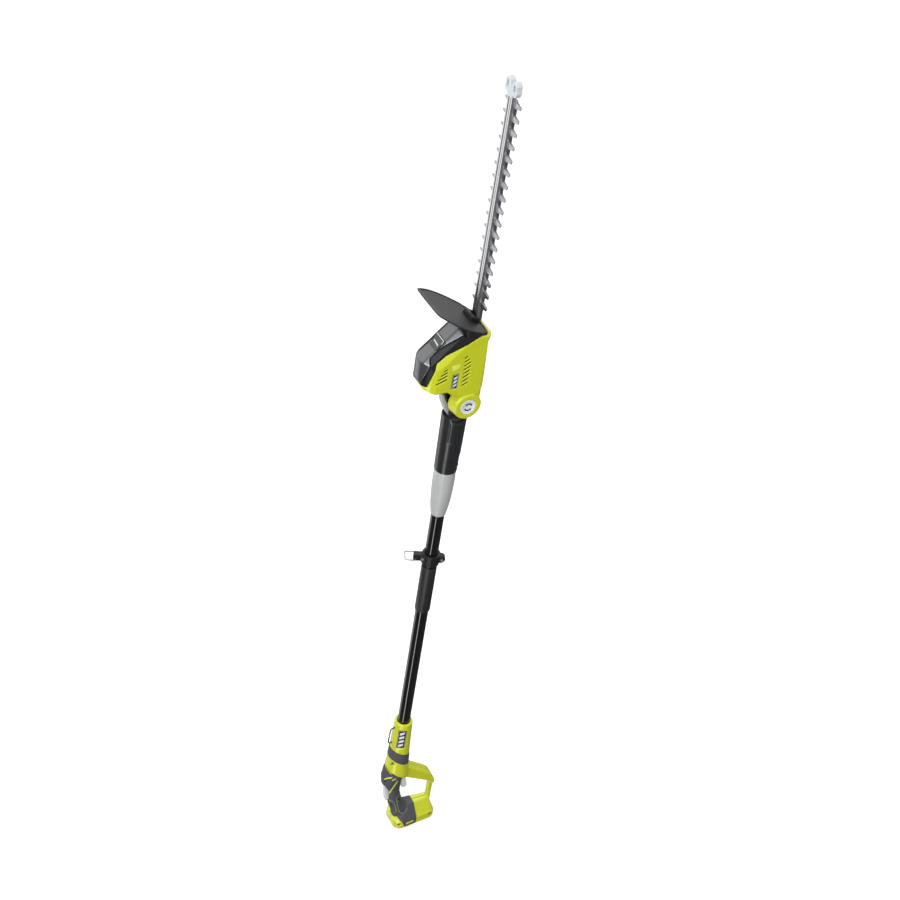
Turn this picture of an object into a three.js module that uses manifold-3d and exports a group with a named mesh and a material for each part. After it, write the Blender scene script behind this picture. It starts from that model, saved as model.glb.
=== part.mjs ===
// Cordless pole hedge trimmer: rear handle, pole, twist coupling, folding cutter head.
// Millimetres. +Z runs up the pole to the blade, +X is the side of the hand guard,
// +Y and -Y are the two halves of the clamshells. The origin is where the pole axis
// meets the flat underside of the battery foot.
import * as THREE from 'three';
import { mergeVertices } from 'three/addons/utils/BufferGeometryUtils.js';
import { ConvexGeometry } from 'three/addons/geometries/ConvexGeometry.js';
import Module from 'manifold-3d';

const wasm = await Module();
wasm.setup();

// ---- driving dimensions -------------------------------------------------------------
const gap = 0.3; // clearance between touching pieces
const wall = 2.6; // moulded shell thickness

const tubeRadius = 13.5;
const tubeBore = 12;
const tubeStart = 262;
const tubeEnd = 1001;

const foot = { back: 6, front: 109, halfWidth: 30, toeHalfWidth: 25.5, slabTop: 20, ridgeTop: 55 };
const socket = { x0: 27, x1: 86, halfWidth: 21, depth: 24, roomTop: 34, roomHalfWidth: 14.6 };
const collar = { top: 350.5, topRadius: 19.4, bandRadius: 22.8, ringRadius: 28 };
const bandUpper = { at: 256.5, slope: -0.45 };
const bandLower = { at: 226, slope: -0.5 };
const ringLower = { at: 185, slope: -0.72 };
const skinThickness = 2.2;

const gripSleeve = { start: 692, end: 815, radius: 15.85 };
const clamp = {
  start: 823, end: 849, radius: 18.5, angle: -25, leftScrew: -16.8, rightScrew: 22,
  ringRoot: -30.5, ringEnd: -52,
};

const coupling = { start: 957, end: 1071, radius: 21.75, neckRadius: 15.85 };
const sleeve = { start: 1071.4, end: 1202, radius: 22.35, topRadius: 24, spigotRadius: 18 };

const leverPin = { x: -15, z: 1216 };
const pivot = { x: 4, z: 1247, discRadius: 27, halfWidth: 37 };
const head = { halfWidth: 35, noseX: -65, bladeX: 12.2 };
const motor = { radius: 21, x0: -80, x1: -36, z: 92 };
const gears = { module: 1.5, pinionTeeth: 8, wheelTeeth: 32, wheelZ: 122.1, throw: 6 };

const bar = { halfWidth: 8.8, x0: 2.6, x1: 9.3, start: 148, end: 621 }; // from the pivot
const teeth = { pitch: 25, count: 17, first: 208, rootY: 9.4, tipY: 26.5 };
const bladeThickness = 2.4;

// ---- finishes -----------------------------------------------------------------------
const finish = (color, roughness, metalness) => () =>
  new THREE.MeshStandardMaterial({ color, roughness, metalness });
const limePlastic = finish(0xb9c01e, 0.42, 0);
const softGrip = finish(0x525258, 0.8, 0);
const blackPlastic = finish(0x232426, 0.5, 0);
const charcoalPlastic = finish(0x3c3e3c, 0.45, 0);
const hoodPaint = finish(0x5b5d60, 0.32, 0.6);
const paleGrey = finish(0xb2b4b4, 0.45, 0);
const glossBlack = finish(0x0d0d0f, 0.2, 0.3);
const brightSteel = finish(0xc8cacc, 0.25, 1);
const gearSteel = finish(0x8f9296, 0.4, 1);
const copperWire = finish(0x9a3020, 0.6, 0);
const whitePlastic = finish(0xd6d8da, 0.4, 0);

// ---- solids -------------------------------------------------------------------------
function solid(geometry) {
  const bare = geometry.clone();
  for (const name of Object.keys(bare.attributes)) {
    if (name !== 'position') bare.deleteAttribute(name);
  }
  const merged = mergeVertices(bare, 1e-4);
  const position = merged.attributes.position;
  const source = merged.index.array;
  const corner = [new THREE.Vector3(), new THREE.Vector3(), new THREE.Vector3()];
  const triangles = [];
  let volume = 0;
  for (let i = 0; i < source.length; i += 3) {
    const [a, b, c] = [source[i], source[i + 1], source[i + 2]];
    if (a === b || b === c || c === a) continue;
    [a, b, c].forEach((index, k) => corner[k].fromBufferAttribute(position, index));
    volume += corner[0].dot(corner[1].clone().cross(corner[2]));
    triangles.push(a, b, c);
  }
  if (volume < 0) triangles.reverse();
  return new wasm.Manifold(
    new wasm.Mesh({
      numProp: 3,
      vertProperties: new Float32Array(position.array),
      triVerts: new Uint32Array(triangles),
    }),
  );
}

function geometryOf(manifold) {
  const mesh = manifold.getMesh();
  const geometry = new THREE.BufferGeometry();
  geometry.setAttribute('position', new THREE.BufferAttribute(mesh.vertProperties, 3));
  geometry.setIndex(new THREE.BufferAttribute(mesh.triVerts, 1));
  geometry.computeVertexNormals();
  return geometry;
}

// The largest body of a shape: cuts along nearly flush faces can leave crumbs.
function whole(shape) {
  return shape.decompose().reduce((best, next) => (next.volume() > best.volume() ? next : best));
}

function piece(name, shape, material) {
  const mesh = new THREE.Mesh(geometryOf(whole(shape)), material());
  mesh.name = name;
  return mesh;
}

const joined = (first, ...rest) => rest.reduce((sum, next) => sum.add(next), first);
const minus = (first, ...rest) => rest.reduce((left, next) => left.subtract(next), first);

function block(x0, x1, y0, y1, z0, z1) {
  const box = new THREE.BoxGeometry(x1 - x0, y1 - y0, z1 - z0);
  return solid(box.translate((x0 + x1) / 2, (y0 + y1) / 2, (z0 + z1) / 2));
}

// A round bar along one axis, centred on (x, y, z).
function rod(axis, radius, length, x, y, z, sides = 16) {
  const bar = new THREE.CylinderGeometry(radius, radius, length, sides);
  if (axis === 'x') bar.rotateZ(-Math.PI / 2);
  if (axis === 'z') bar.rotateX(Math.PI / 2);
  return solid(bar.translate(x, y, z));
}

// A turned shape about +Z from [radius, height] pairs that start and end on the axis.
function turned(profile, sides = 24) {
  const points = profile.map(([radius, height]) => new THREE.Vector2(radius, height));
  return solid(new THREE.LatheGeometry(points, sides).rotateX(Math.PI / 2));
}

function shapeOf(outline) {
  return new THREE.Shape(outline.map(([a, b]) => new THREE.Vector2(a, b)));
}

function extruded(shape, depth, bevel, curveSegments = 8) {
  return new THREE.ExtrudeGeometry(shape, {
    depth: depth - 2 * bevel,
    bevelEnabled: bevel > 0,
    bevelThickness: bevel,
    bevelSize: bevel,
    bevelOffset: -bevel,
    bevelSegments: 2,
    curveSegments,
    steps: 1,
  }).translate(0, 0, bevel - depth / 2);
}

// Outline in X-Z, thickness along Y.
function sidePlate(outline, halfWidth, bevel = 0) {
  return solid(extruded(shapeOf(outline), 2 * halfWidth, bevel).rotateX(Math.PI / 2));
}

// Outline in X-Y, thickness along Z.
function planPlate(outline, z0, z1, bevel = 0) {
  const body = extruded(shapeOf(outline), z1 - z0, bevel);
  return solid(body.translate(0, 0, (z0 + z1) / 2));
}

// Outline given as [y, z], thickness along X.
function facePlate(outline, x0, x1, bevel = 0) {
  const body = extruded(shapeOf(outline), x1 - x0, bevel);
  body.rotateX(Math.PI / 2).rotateZ(Math.PI / 2);
  return solid(body.translate((x0 + x1) / 2, 0, 0));
}

// A body through elliptical sections that follow a line in the X-Z plane.
function lofted(sections, inset = 0, sides = 20) {
  const vertices = [];
  const indices = [];
  sections.forEach(({ x, z, depth, width }, i) => {
    const before = sections[Math.max(i - 1, 0)];
    const after = sections[Math.min(i + 1, sections.length - 1)];
    const along = new THREE.Vector2(after.x - before.x, after.z - before.z).normalize();
    for (let k = 0; k < sides; k++) {
      const angle = (2 * Math.PI * k) / sides;
      const out = (depth - inset) * Math.cos(angle);
      vertices.push(x + along.y * out, (width - inset) * Math.sin(angle), z - along.x * out);
    }
  });
  for (let i = 0; i + 1 < sections.length; i++) {
    for (let k = 0; k < sides; k++) {
      const a = i * sides + k;
      const b = i * sides + ((k + 1) % sides);
      indices.push(a, b, b + sides, a, b + sides, a + sides);
    }
  }
  const last = (sections.length - 1) * sides;
  for (let k = 1; k + 1 < sides; k++) {
    indices.push(0, k + 1, k);
    indices.push(last, last + k, last + k + 1);
  }
  const geometry = new THREE.BufferGeometry();
  geometry.setAttribute('position', new THREE.Float32BufferAttribute(vertices, 3));
  geometry.setIndex(indices);
  return solid(geometry);
}

function hull(points) {
  return solid(new ConvexGeometry(points.map(([x, y, z]) => new THREE.Vector3(x, y, z))));
}

function wire(points, radius, sides = 8, closed = false) {
  const path = new THREE.CatmullRomCurve3(
    points.map(([x, y, z]) => new THREE.Vector3(x, y, z)), closed, 'catmullrom', 0.15,
  );
  const section = new THREE.Shape();
  section.absarc(0, 0, radius, 0, 2 * Math.PI);
  return solid(new THREE.ExtrudeGeometry(section, {
    steps: points.length * 3,
    curveSegments: sides / 2,
    extrudePath: path,
  }));
}

// The part of a shape on one side of the centre plane.
const half = (shape, side) =>
  shape.intersect(side > 0 ? block(-300, 300, gap / 2, 200, -50, 2500)
    : block(-300, 300, -200, -gap / 2, -50, 2500));

// Everything above a plane z = at + slope * x.
function above(plane, raise = 0) {
  const reach = 200;
  const height = (x) => plane.at + raise + plane.slope * x;
  return sidePlate(
    [[-reach, height(-reach)], [reach, height(reach)], [reach, 900], [-reach, 900]], 120,
  );
}

const arc = (cx, cy, radius, from, to, steps = 6) =>
  Array.from({ length: steps + 1 }, (_, i) => {
    const angle = THREE.MathUtils.degToRad(from + ((to - from) * i) / steps);
    return [cx + radius * Math.cos(angle), cy + radius * Math.sin(angle)];
  });

const part = new THREE.Group();
const headGroup = new THREE.Group();
headGroup.position.set(pivot.x, 0, pivot.z);
part.add(headGroup);

// ---- rear handle --------------------------------------------------------------------
const gripSections = [
  { x: -1, z: 192, depth: 28, width: 27 },
  { x: -7, z: 168, depth: 27, width: 22.5 },
  { x: -7, z: 151, depth: 24, width: 19.5 },
  { x: -2, z: 132, depth: 18, width: 17.5 },
  { x: 1, z: 112, depth: 15.8, width: 16.5 },
  { x: 6, z: 90, depth: 16, width: 17 },
  { x: 12, z: 68, depth: 17, width: 18 },
  { x: 24, z: 45, depth: 20, width: 20 },
  { x: 31, z: 22, depth: 23, width: 22 },
];

function collarSolid(extra = 0) {
  const { top, topRadius, bandRadius, ringRadius } = collar;
  return turned([
    [0, 150], [ringRadius + extra, 150], [ringRadius + extra, 188],
    [bandRadius + 2 + extra, 222], [bandRadius + extra, 262],
    [topRadius + 0.6 + extra, top - 3], [topRadius - 0.6 + extra, top], [0, top],
  ]);
}

function footSolid(inset = 0) {
  const w = foot.halfWidth - inset;
  const toe = foot.toeHalfWidth - inset;
  const back = foot.back + inset;
  const front = foot.front - inset;
  const plan = [
    ...arc(back + 15, -w + 15, 15 - inset * 0.4, 180, 270, 4),
    ...arc(front - 12, -toe + 12, 12 - inset * 0.4, 270, 360, 3),
    ...arc(front - 12, toe - 12, 12 - inset * 0.4, 0, 90, 3),
    ...arc(back + 15, w - 15, 15 - inset * 0.4, 90, 180, 4),
  ];
  const slab = planPlate(plan, inset > 0 ? -1 : 0, foot.slabTop - inset * 0.5);
  const low = foot.slabTop - inset * 0.5;
  const hump = hull([
    ...plan.map(([x, y]) => [x, y, low - 2]),
    ...[[38, 12], [38, -12], [96 - inset, 8], [96 - inset, -8]].map(([x, y]) => [
      x, y, foot.ridgeTop - inset,
    ]),
  ]);
  return joined(slab, hump);
}

function bridgeSolid(inset = 0) {
  const outline = [
    [4, 192], [12, 168 + inset], [84 - inset, 122.5 + inset], [92.1 + inset, 116],
    [92.1 + inset, 48], [101.7 - inset, 48], [102 - inset, 108], [99 - inset, 124],
    [91, 142 - inset], [80, 153.5 - inset], [14, 205 - inset],
  ];
  const arm = sidePlate(outline, 14.5 - inset, 3);
  const post = block(60, 120, -6 + inset * 0.3, 6 - inset * 0.3, 40, 122);
  const upper = sidePlate([[0, 96], [120, 114], [120, 260], [0, 260]], 40);
  return joined(arm.intersect(upper), arm.intersect(post));
}

function handleBody() {
  const upperCollar = collarSolid().intersect(above(ringLower));
  const core = lofted(gripSections, skinThickness + gap);
  return joined(upperCollar, core, footSolid(), bridgeSolid());
}

function handleHollow() {
  const grip = lofted(gripSections, skinThickness + gap + wall + 0.6)
    .intersect(block(-60, 60, -60, 60, 48, 300));
  const tubeHole = rod('z', tubeRadius + gap, 400, 0, 0, 370, 24);
  const lower = rod('z', 19.5, 70, 0, 0, 215, 24);
  const { x0, x1, halfWidth, depth, roomTop, roomHalfWidth } = socket;
  const stem = block(x0, x1, -halfWidth, halfWidth, -5, depth);
  const room = block(x0 + 6, x1 - 6, -roomHalfWidth, roomHalfWidth, depth - 4, roomTop);
  const throat = block(32, 50, -9, 9, 20, 60);
  const trigger = block(8, 40, -6.4, 6.4, 108, 170);
  const lockOff = block(-40, 0, -7.4, 7.4, 82, 146);
  return joined(grip, tubeHole, lower, stem, room, throat, trigger, lockOff);
}

const handleScrews = [
  { name: 'handle_screw_ring', x: -20, z: 226, y: -14.2 },
  { name: 'handle_screw_heel', x: 17, z: 13, y: -27 },
  { name: 'handle_screw_toe', x: 96, z: 12, y: -24 },
  { name: 'handle_screw_grip', x: 12, z: 88, y: -14.2 },
];

function screwShape({ x, z, y }, length = 9) {
  const cap = rod('y', 3.4, 2.4, x, y + 1.2, z, 12);
  return joined(cap, rod('y', 1.6, length, x, y + 2 + length / 2, z, 8));
}

function addRearHandle() {
  const bandGroove = minus(
    collarSolid(2).intersect(above(bandLower)),
    above(bandUpper),
    rod('z', 20.6, 400, 0, 0, 300, 24),
  );
  let body = minus(handleBody(), handleHollow(), bandGroove);
  const wells = handleScrews.map((screw) => joined(
    rod('y', 4.2, 20, screw.x, screw.y - 10 + 2.7, screw.z),
    rod('y', 2.0, 14, screw.x, screw.y + 7, screw.z, 8),
  ));
  body = minus(body, ...wells);
  const labelCut = block(-10, 10, -30, -18.4, 277, 335);
  const loopHoles = [331, 284].map((z) => rod('x', 2.1, 8, -21, 0, z, 8));
  body = minus(body, labelCut.rotate([0, 0, -27]), ...loopHoles);
  part.add(piece('rear_handle_right_shell', half(body, -1), limePlastic));
  part.add(piece('rear_handle_left_shell', half(body, 1), limePlastic));

  const band = minus(
    collarSolid(0.9).intersect(above(bandLower, gap + 0.1)),
    above(bandUpper, -gap - 0.1),
    rod('z', 20.9, 400, 0, 0, 300, 24),
  );
  part.add(piece('collar_band', band, softGrip));

  const clear = joined(
    footSolid(-gap), bridgeSolid(-gap), block(8, 45, -8, 8, 104, 175),
    block(-50, 0, -9, 9, 80, 148),
  );
  const skin = minus(
    lofted(gripSections).intersect(block(-60, 90, -60, 60, 23, 300)),
    lofted(gripSections, skinThickness),
    above(ringLower, -gap),
    clear,
    rod('y', 4.6, 40, 12, -20, 88),
  );
  part.add(piece('grip_skin_right', half(skin, -1), softGrip));
  part.add(piece('grip_skin_left', half(skin, 1), softGrip));

  const plate = block(-9.5, 9.5, -19.9, -18.7, 277.6, 334.4).rotate([0, 0, -27]);
  part.add(piece('collar_badge_plate', plate, blackPlastic));

  const loopX = -24.5;
  part.add(piece('hang_loop', wire([
    [-19.6, 0, 331], [loopX - 3, 0, 330], [loopX - 4.5, 0, 324], [loopX - 5.5, 0, 306],
    [loopX - 6.5, 0, 290], [loopX - 5, 0, 285], [-22.4, 0, 284],
  ], 1.5), blackPlastic));
  for (const screw of handleScrews) {
    part.add(piece(screw.name, screwShape(screw), gearSteel));
  }
}

function addControls() {
  const lever = sidePlate([
    [10, 164], [20, 161], [29, 142], [34, 121], [29, 114], [22, 116], [14, 140], [9, 156],
  ], 5.6, 1.5);
  part.add(piece('trigger', lever, paleGrey));
  const button = sidePlate([
    [-14, 141], [-26, 141.5], [-25, 132], [-18.5, 92], [-15.5, 87], [-8, 89], [-9, 110],
  ], 5.6, 1.5);
  part.add(piece('lock_off_button', button, paleGrey));
  part.add(piece('trigger_switch', block(-6, 6.5, -6.2, 6.2, 122, 150), blackPlastic));
  const terminals = joined(
    block(socket.x0 + 8, socket.x1 - 8, -14, 14, 26, 31),
    block(42, 44, -9, 9, 14, 27), block(54, 56, -9, 9, 14, 27), block(66, 68, -9, 9, 14, 27),
  );
  part.add(piece('battery_terminal_block', terminals, blackPlastic));
}

// ---- pole ---------------------------------------------------------------------------
function tubeSolid(z0, z1, outer = tubeRadius, inner = tubeBore) {
  return turned([[inner, z0], [outer, z0], [outer, z1], [inner, z1], [inner, z0]]);
}

const clampTurn = (shape) => shape.rotate([0, 0, clamp.angle]);

// The strap clamp is drawn with its split plane at Y = 0 and turned into place.
function clampHalf(side) {
  const { start, end, radius, leftScrew, rightScrew } = clamp;
  const mid = (start + end) / 2;
  const body = turned([[0, start], [radius, start], [radius, end], [0, end]]);
  const ears = joined(
    block(-35, 0, -6, 6, mid - 7, mid + 9),
    sidePlate([
      [0, mid - 9], [24, mid - 9], ...arc(rightScrew, mid, 7.5, -60, 60, 4), [24, mid + 9], [0, mid + 9],
    ], 6),
  );
  const bore = rod('z', tubeRadius + gap, 60, 0, 0, mid, 24);
  const screws = [leftScrew, rightScrew].map((x) => rod('y', 2.3, 40, x, 0, mid, 10));
  const heads = [leftScrew, rightScrew].map((x) => rod('y', 4.2, 20, x, -15.5, mid, 12));
  const hinge = rod('y', 2, 40, clamp.ringRoot, 0, mid, 10);
  const keep = side > 0 ? block(-60, 60, gap / 2, 60, 700, 900)
    : block(-60, 60, -60, -gap / 2, 700, 900);
  return clampTurn(minus(joined(body, ears), bore, ...screws, ...heads, hinge).intersect(keep));
}

function addPole() {
  part.add(piece('lower_tube', tubeSolid(tubeStart, tubeEnd), glossBlack));
  const { start, end, radius } = gripSleeve;
  const sleeveShape = turned([
    [tubeRadius + gap, start], [radius, start], [radius, end], [tubeRadius + gap, end],
    [tubeRadius + gap, start],
  ]);
  part.add(piece('front_grip_sleeve', sleeveShape, blackPlastic));

  part.add(piece('strap_clamp_front', clampHalf(-1), blackPlastic));
  part.add(piece('strap_clamp_rear', clampHalf(1), blackPlastic));
  const mid = (clamp.start + clamp.end) / 2;
  const clampScrews = [['clamp_screw_left', clamp.leftScrew], ['clamp_screw_right', clamp.rightScrew]];
  for (const [name, x] of clampScrews) {
    const screw = joined(
      rod('y', 3.7, 2.4, x, -7, mid, 12),
      rod('y', 1.9, 13, x, 0.5, mid, 8),
    );
    part.add(piece(name, clampTurn(screw), brightSteel));
  }
  const wireRadius = 1.3;
  const ringMiddle = (clamp.ringRoot + clamp.ringEnd) / 2;
  const ringLength = clamp.ringRoot - clamp.ringEnd;
  const ring = joined(
    rod('y', wireRadius, 26, clamp.ringRoot, 0, mid, 8),
    rod('y', wireRadius, 26, clamp.ringEnd, 0, mid, 8),
    rod('x', wireRadius, ringLength, ringMiddle, -12.6, mid, 8),
    rod('x', wireRadius, ringLength, ringMiddle, 12.6, mid, 8),
  );
  part.add(piece('strap_ring', clampTurn(ring), gearSteel));

  part.add(piece('pole_wire', rod('z', 2.6, 640, 0, 0, 640, 10), copperWire));
  part.add(piece('lower_connector', rod('z', 11.6, 36, 0, 0, 982, 28), blackPlastic));
}

// ---- twist coupling and upper sleeve ------------------------------------------------
function addCoupling() {
  const { start, end, radius, neckRadius } = coupling;
  const bore = tubeRadius + gap;
  const shell = turned([
    [bore, start], [neckRadius - 0.6, start], [neckRadius, start + 2], [17.4, start + 14],
    [20.2, start + 44], [radius - 0.3, start + 72], [radius, end - 3], [radius - 0.6, end],
    [sleeve.spigotRadius + gap, end], [sleeve.spigotRadius + gap, end - 26], [bore, end - 26],
    [bore, start],
  ]);
  part.add(piece('coupling_collar', shell, paleGrey));
}

function addUpperSleeve() {
  const { start, end, radius, topRadius, spigotRadius } = sleeve;
  const outer = turned([
    [0, coupling.end - 25.6], [spigotRadius, coupling.end - 25.6], [spigotRadius, start],
    [radius - 0.5, start], [radius, start + 2], [topRadius, end - 6], [topRadius, end], [0, end],
  ]);
  const lip = turned([[0, end - 1], [topRadius, end - 1], [topRadius - 0.4, end + 6], [0, end + 6]])
    .intersect(block(-30, -14, -30, 30, 1190, 1300));
  const pad = turned([[0, 1130], [topRadius + 0.7, 1131], [topRadius + 0.9, end - 8], [0, end - 8]])
    .intersect(block(-2, 30, -30, 30, 1130, 1200));
  const bore = rod('z', tubeRadius + gap, 200, 0, 0, 1080, 24);
  const upperRoom = rod('z', 20.5, 60, 0, 0, end + 8, 24);
  const shell = minus(joined(outer, lip, pad), bore, upperRoom);
  const screws = [['sleeve_screw_low', 1086], ['sleeve_screw_high', 1160]].map(([name, z]) => ({
    name, x: 16.4, z, y: -13.4,
  }));
  const wells = screws.map(({ x, z, y }) => joined(
    rod('y', 4, 20, x, y - 10 + 2.7, z), rod('y', 2, 16, x, y + 8, z, 12),
  ));
  const body = minus(shell, ...wells);
  part.add(piece('sleeve_right_shell', half(body, -1), blackPlastic));
  part.add(piece('sleeve_left_shell', half(body, 1), blackPlastic));
  for (const screw of screws) part.add(piece(screw.name, screwShape(screw, 10), gearSteel));

  part.add(piece('upper_tube', tubeSolid(1002, 1160), glossBlack));
  part.add(piece('upper_connector', rod('z', 11.6, 34, 0, 0, 1020, 28), blackPlastic));

  // The yoke stands in the sleeve's mouth; its tongue carries the pivot bolt.
  const tongue = joined(
    rod('y', 22, 23, pivot.x, 0, pivot.z, 24),
    block(-13, 20, -11.5, 11.5, end + 1, pivot.z),
    block(-19, -12, -11.5, 11.5, end + 7.5, end + 26),
    turned([[0, end - 19], [20.1, end - 19], [20.1, end - 4], [17, end + 4], [0, end + 4]]),
  );
  const boltHole = rod('y', 6.3, 60, pivot.x, 0, pivot.z, 28);
  const leverSlot = block(-40, -9.6, -7.4, 7.4, end + 5, pivot.z + 40);
  const pinHole = rod('y', 1.8, 40, leverPin.x, 0, leverPin.z, 8);
  const yoke = minus(tongue, boltHole, leverSlot, pinHole, rod('z', 6, 80, 2, 0, end - 10));
  part.add(piece('pivot_yoke', yoke, charcoalPlastic));

  const lever = sidePlate([
    [-10.6, 1222], [-10.6, 1212], [-18, 1211], [-24, 1220], [-35, 1246], [-38.5, 1263],
    [-34, 1262], [-27, 1247], [-18, 1230],
  ], 7, 1);
  part.add(piece('release_lever', minus(lever, pinHole), paleGrey));
  part.add(piece('lever_pin', rod('y', 1.5, 22.6, leverPin.x, 0, leverPin.z, 8), gearSteel));
}

// ---- cutter head (drawn from the pivot axis) ----------------------------------------
const bandWidth = 10.5;

// The line where the green shells stop, moved out by a distance.
function beltLine(offset) {
  return [
    [-120, 57 + offset * 0.2], [-88 - offset * 0.8, 58 + offset * 0.2],
    [-76 - offset * 0.8, 110 + offset * 0.6], [-59 - offset * 0.6, 125 + offset * 0.9],
    [-6 - offset * 0.4, 153 + offset * 2], [9, 158 + offset * 2],
  ];
}

const hoodSlope = 44.1;

function headSolid(inset = 0) {
  const i = inset;
  const outline = [
    [-50 + i, 43.5 + i], [-74 + i * 0.5, 43 + i], [-92 + i, 50 + i], [-99 + i, 66 + i * 0.3],
    [-100.5 + i, 86], [-99.5 + i, 105 - i * 0.4], [-33 + i * 0.3, 169.6 - i], [-25 - i, 175 - i],
    [-25 - i, 158 - i], [17.4 + i, 158 - i], [17.4 + i, 161 - i], [28 - i, 161 - i],
    [27 - i, 152], [21 - i, 145], [26 - i, 45], [20 - i, 26], [-18, 26], [-36 + i, 34],
  ];
  const w = head.halfWidth - i;
  const corner = 9 - i;
  const plan = planPlate([
    ...arc(head.noseX, 0, w, 90, 270, 12),
    ...arc(28 - i - corner, -w + corner, corner, 270, 360, 3),
    ...arc(28 - i - corner, w - corner, corner, 0, 90, 3),
  ], 0, 260);
  const front = facePlate([
    [-w, -40], [w, -40], ...arc(w - 14, 150, 14, 0, 60, 3), [0, 178 - i],
    ...arc(14 - w, 150, 14, 120, 180, 3),
  ], -150, 60);
  const slope = facePlate([
    [-w, -200], [w, -200], [w, -26 - i * 0.4], [27 - i * 0.6, -9 - i * 0.9], [13, -i],
    [-13, -i], [i * 0.6 - 27, -9 - i * 0.9], [-w, -26 - i * 0.4],
  ], -200, 200).rotate([0, -hoodSlope, 0]).translate([-66, 0, 138]);
  return sidePlate(outline, w).intersect(plan).intersect(front).intersect(slope);
}

function beltSolid(offset, reach = 60) {
  const line = beltLine(offset);
  return sidePlate([...line, [10, 260], [-140, 260], [-140, 57 + offset * 0.2]], reach);
}

function cheek(side) {
  const w = pivot.halfWidth;
  const cone = new THREE.CylinderGeometry(pivot.discRadius, 31, w - 13, 28);
  if (side < 0) cone.rotateZ(Math.PI);
  cone.translate(0, side * (13 + (w - 13) / 2), 0);
  const neck = sidePlate([
    [-22, 4], [-36, 34], [-20, 46], [18, 46], [25, 30], [24, 8],
  ], (w - 5 - 12.6) / 2).translate([0, side * (12.6 + (w - 5 - 12.6) / 2), 0]);
  return joined(solid(cone), neck);
}

// Slanted slots through both side walls: [x0, x1, z at x0, rise].
const vents = {
  height: 2.8,
  slots: [
    [-23.5, -16, 113.5, 4], [-22, -11, 104.8, 6], [-21.5, -7, 95.9, 7.8], [-21.5, -7, 86.9, 7.8],
    [-21.5, -7, 77.9, 7.8], [-21.5, -7, 68.9, 7.8], [-21, -7.5, 59.9, 7.2], [-20.5, -8, 51, 6.5],
    [-61.7, -54, 92, 4], [-67.5, -53, 82.8, 6.4], [-72, -53, 73.6, 8], [-75, -53, 64.4, 8.6],
  ],
};

function ventCuts() {
  const slots = vents.slots.map(([x0, x1, z, rise]) => sidePlate([
    [x0, z], [x1, z + rise], [x1, z + rise + vents.height], [x0, z + vents.height],
  ], 44));
  return minus(joined(...slots), block(-100, 20, -28, 28, 30, 140));
}

// The plate on the sloping hood face, or with a margin the recess it lies in.
function hoodBadge(margin, top) {
  const [x, y] = [11.5 + margin, 15.5 + margin];
  const plate = block(-x, x, -y, y, -1.7 - margin, top);
  return plate.rotate([0, -hoodSlope, 0]).translate([-66, 0, 138]);
}

function addHeadShells() {
  const bladeMouth = block(-4, 15.5, -18.2, 18.2, 138, 190);
  const hollow = minus(headSolid(wall), block(-70, -18, -6, 6, 20, 40));
  const cheeks = joined(cheek(1), cheek(-1));
  const boltHole = rod('y', 6.3, 120, 0, 0, 0, 28);
  const capRoom = joined(
    rod('y', 16.3, 6, 0, pivot.halfWidth, 0, 24), rod('y', 16.3, 6, 0, -pivot.halfWidth, 0, 24),
    rod('y', 9.6, 12, 0, pivot.halfWidth - 0.8, 0, 12),
    rod('y', 9.6, 12, 0, 0.8 - pivot.halfWidth, 0, 12),
  );
  const yokeRoom = joined(
    rod('y', 24.5, 25, 0, 0, 0, 24), block(-40, 23, -12.5, 12.5, -60, 10),
  );
  const leverRoom = block(-60, -14, -9.5, 9.5, -40, 60);
  let green = minus(joined(headSolid(), cheeks), hollow, beltSolid(0));
  green = minus(green, boltHole, capRoom, yokeRoom, leverRoom, bladeMouth);
  green = minus(green, ventCuts());
  const badgeCut = block(-43, -29, -40, -33.9, 49, 83);
  green = minus(green, badgeCut);
  const screws = headScrews.map(({ x, z, y }) => joined(
    rod('y', 4, 20, x, y + 10 - 2.7, z), rod('y', 2, 30, x, y - 8, z, 12),
  ));
  green = minus(green, ...screws);
  const halfOf = (shape, side) => shape.intersect(
    side > 0 ? block(-200, 200, gap / 2, 100, -100, 800)
      : block(-200, 200, -100, -gap / 2, -100, 800),
  );
  headGroup.add(piece('head_right_shell', halfOf(green, -1), limePlastic));
  headGroup.add(piece('head_left_shell', halfOf(green, 1), limePlastic));

  const shellAll = minus(headSolid(), headSolid(wall));
  const belt = minus(shellAll.intersect(beltSolid(gap)), beltSolid(bandWidth));
  headGroup.add(piece('head_belt', minus(belt, bladeMouth), blackPlastic));
  let hood = shellAll.intersect(beltSolid(bandWidth + gap));
  const plateCut = hoodBadge(0.3, 8);
  hood = minus(hood, bladeMouth, plateCut);
  headGroup.add(piece('motor_hood', hood, hoodPaint));
  headGroup.add(piece('hood_badge_plate', hoodBadge(0, 0.1), glossBlack));
  const label = block(-42.6, -29.4, -35, -34.2, 49.4, 82.6);
  headGroup.add(piece('head_badge_plate', label, blackPlastic));
}

const headScrews = [
  { name: 'head_screw_spine', x: 16, z: 96, y: 32 },
  { name: 'head_screw_nose', x: -31, z: 100, y: 32 },
];

// The visor leans back over the hood; its base takes in the blade.
const visor = { tilt: 29.94, z: 178, thickness: 3.2 };

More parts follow.
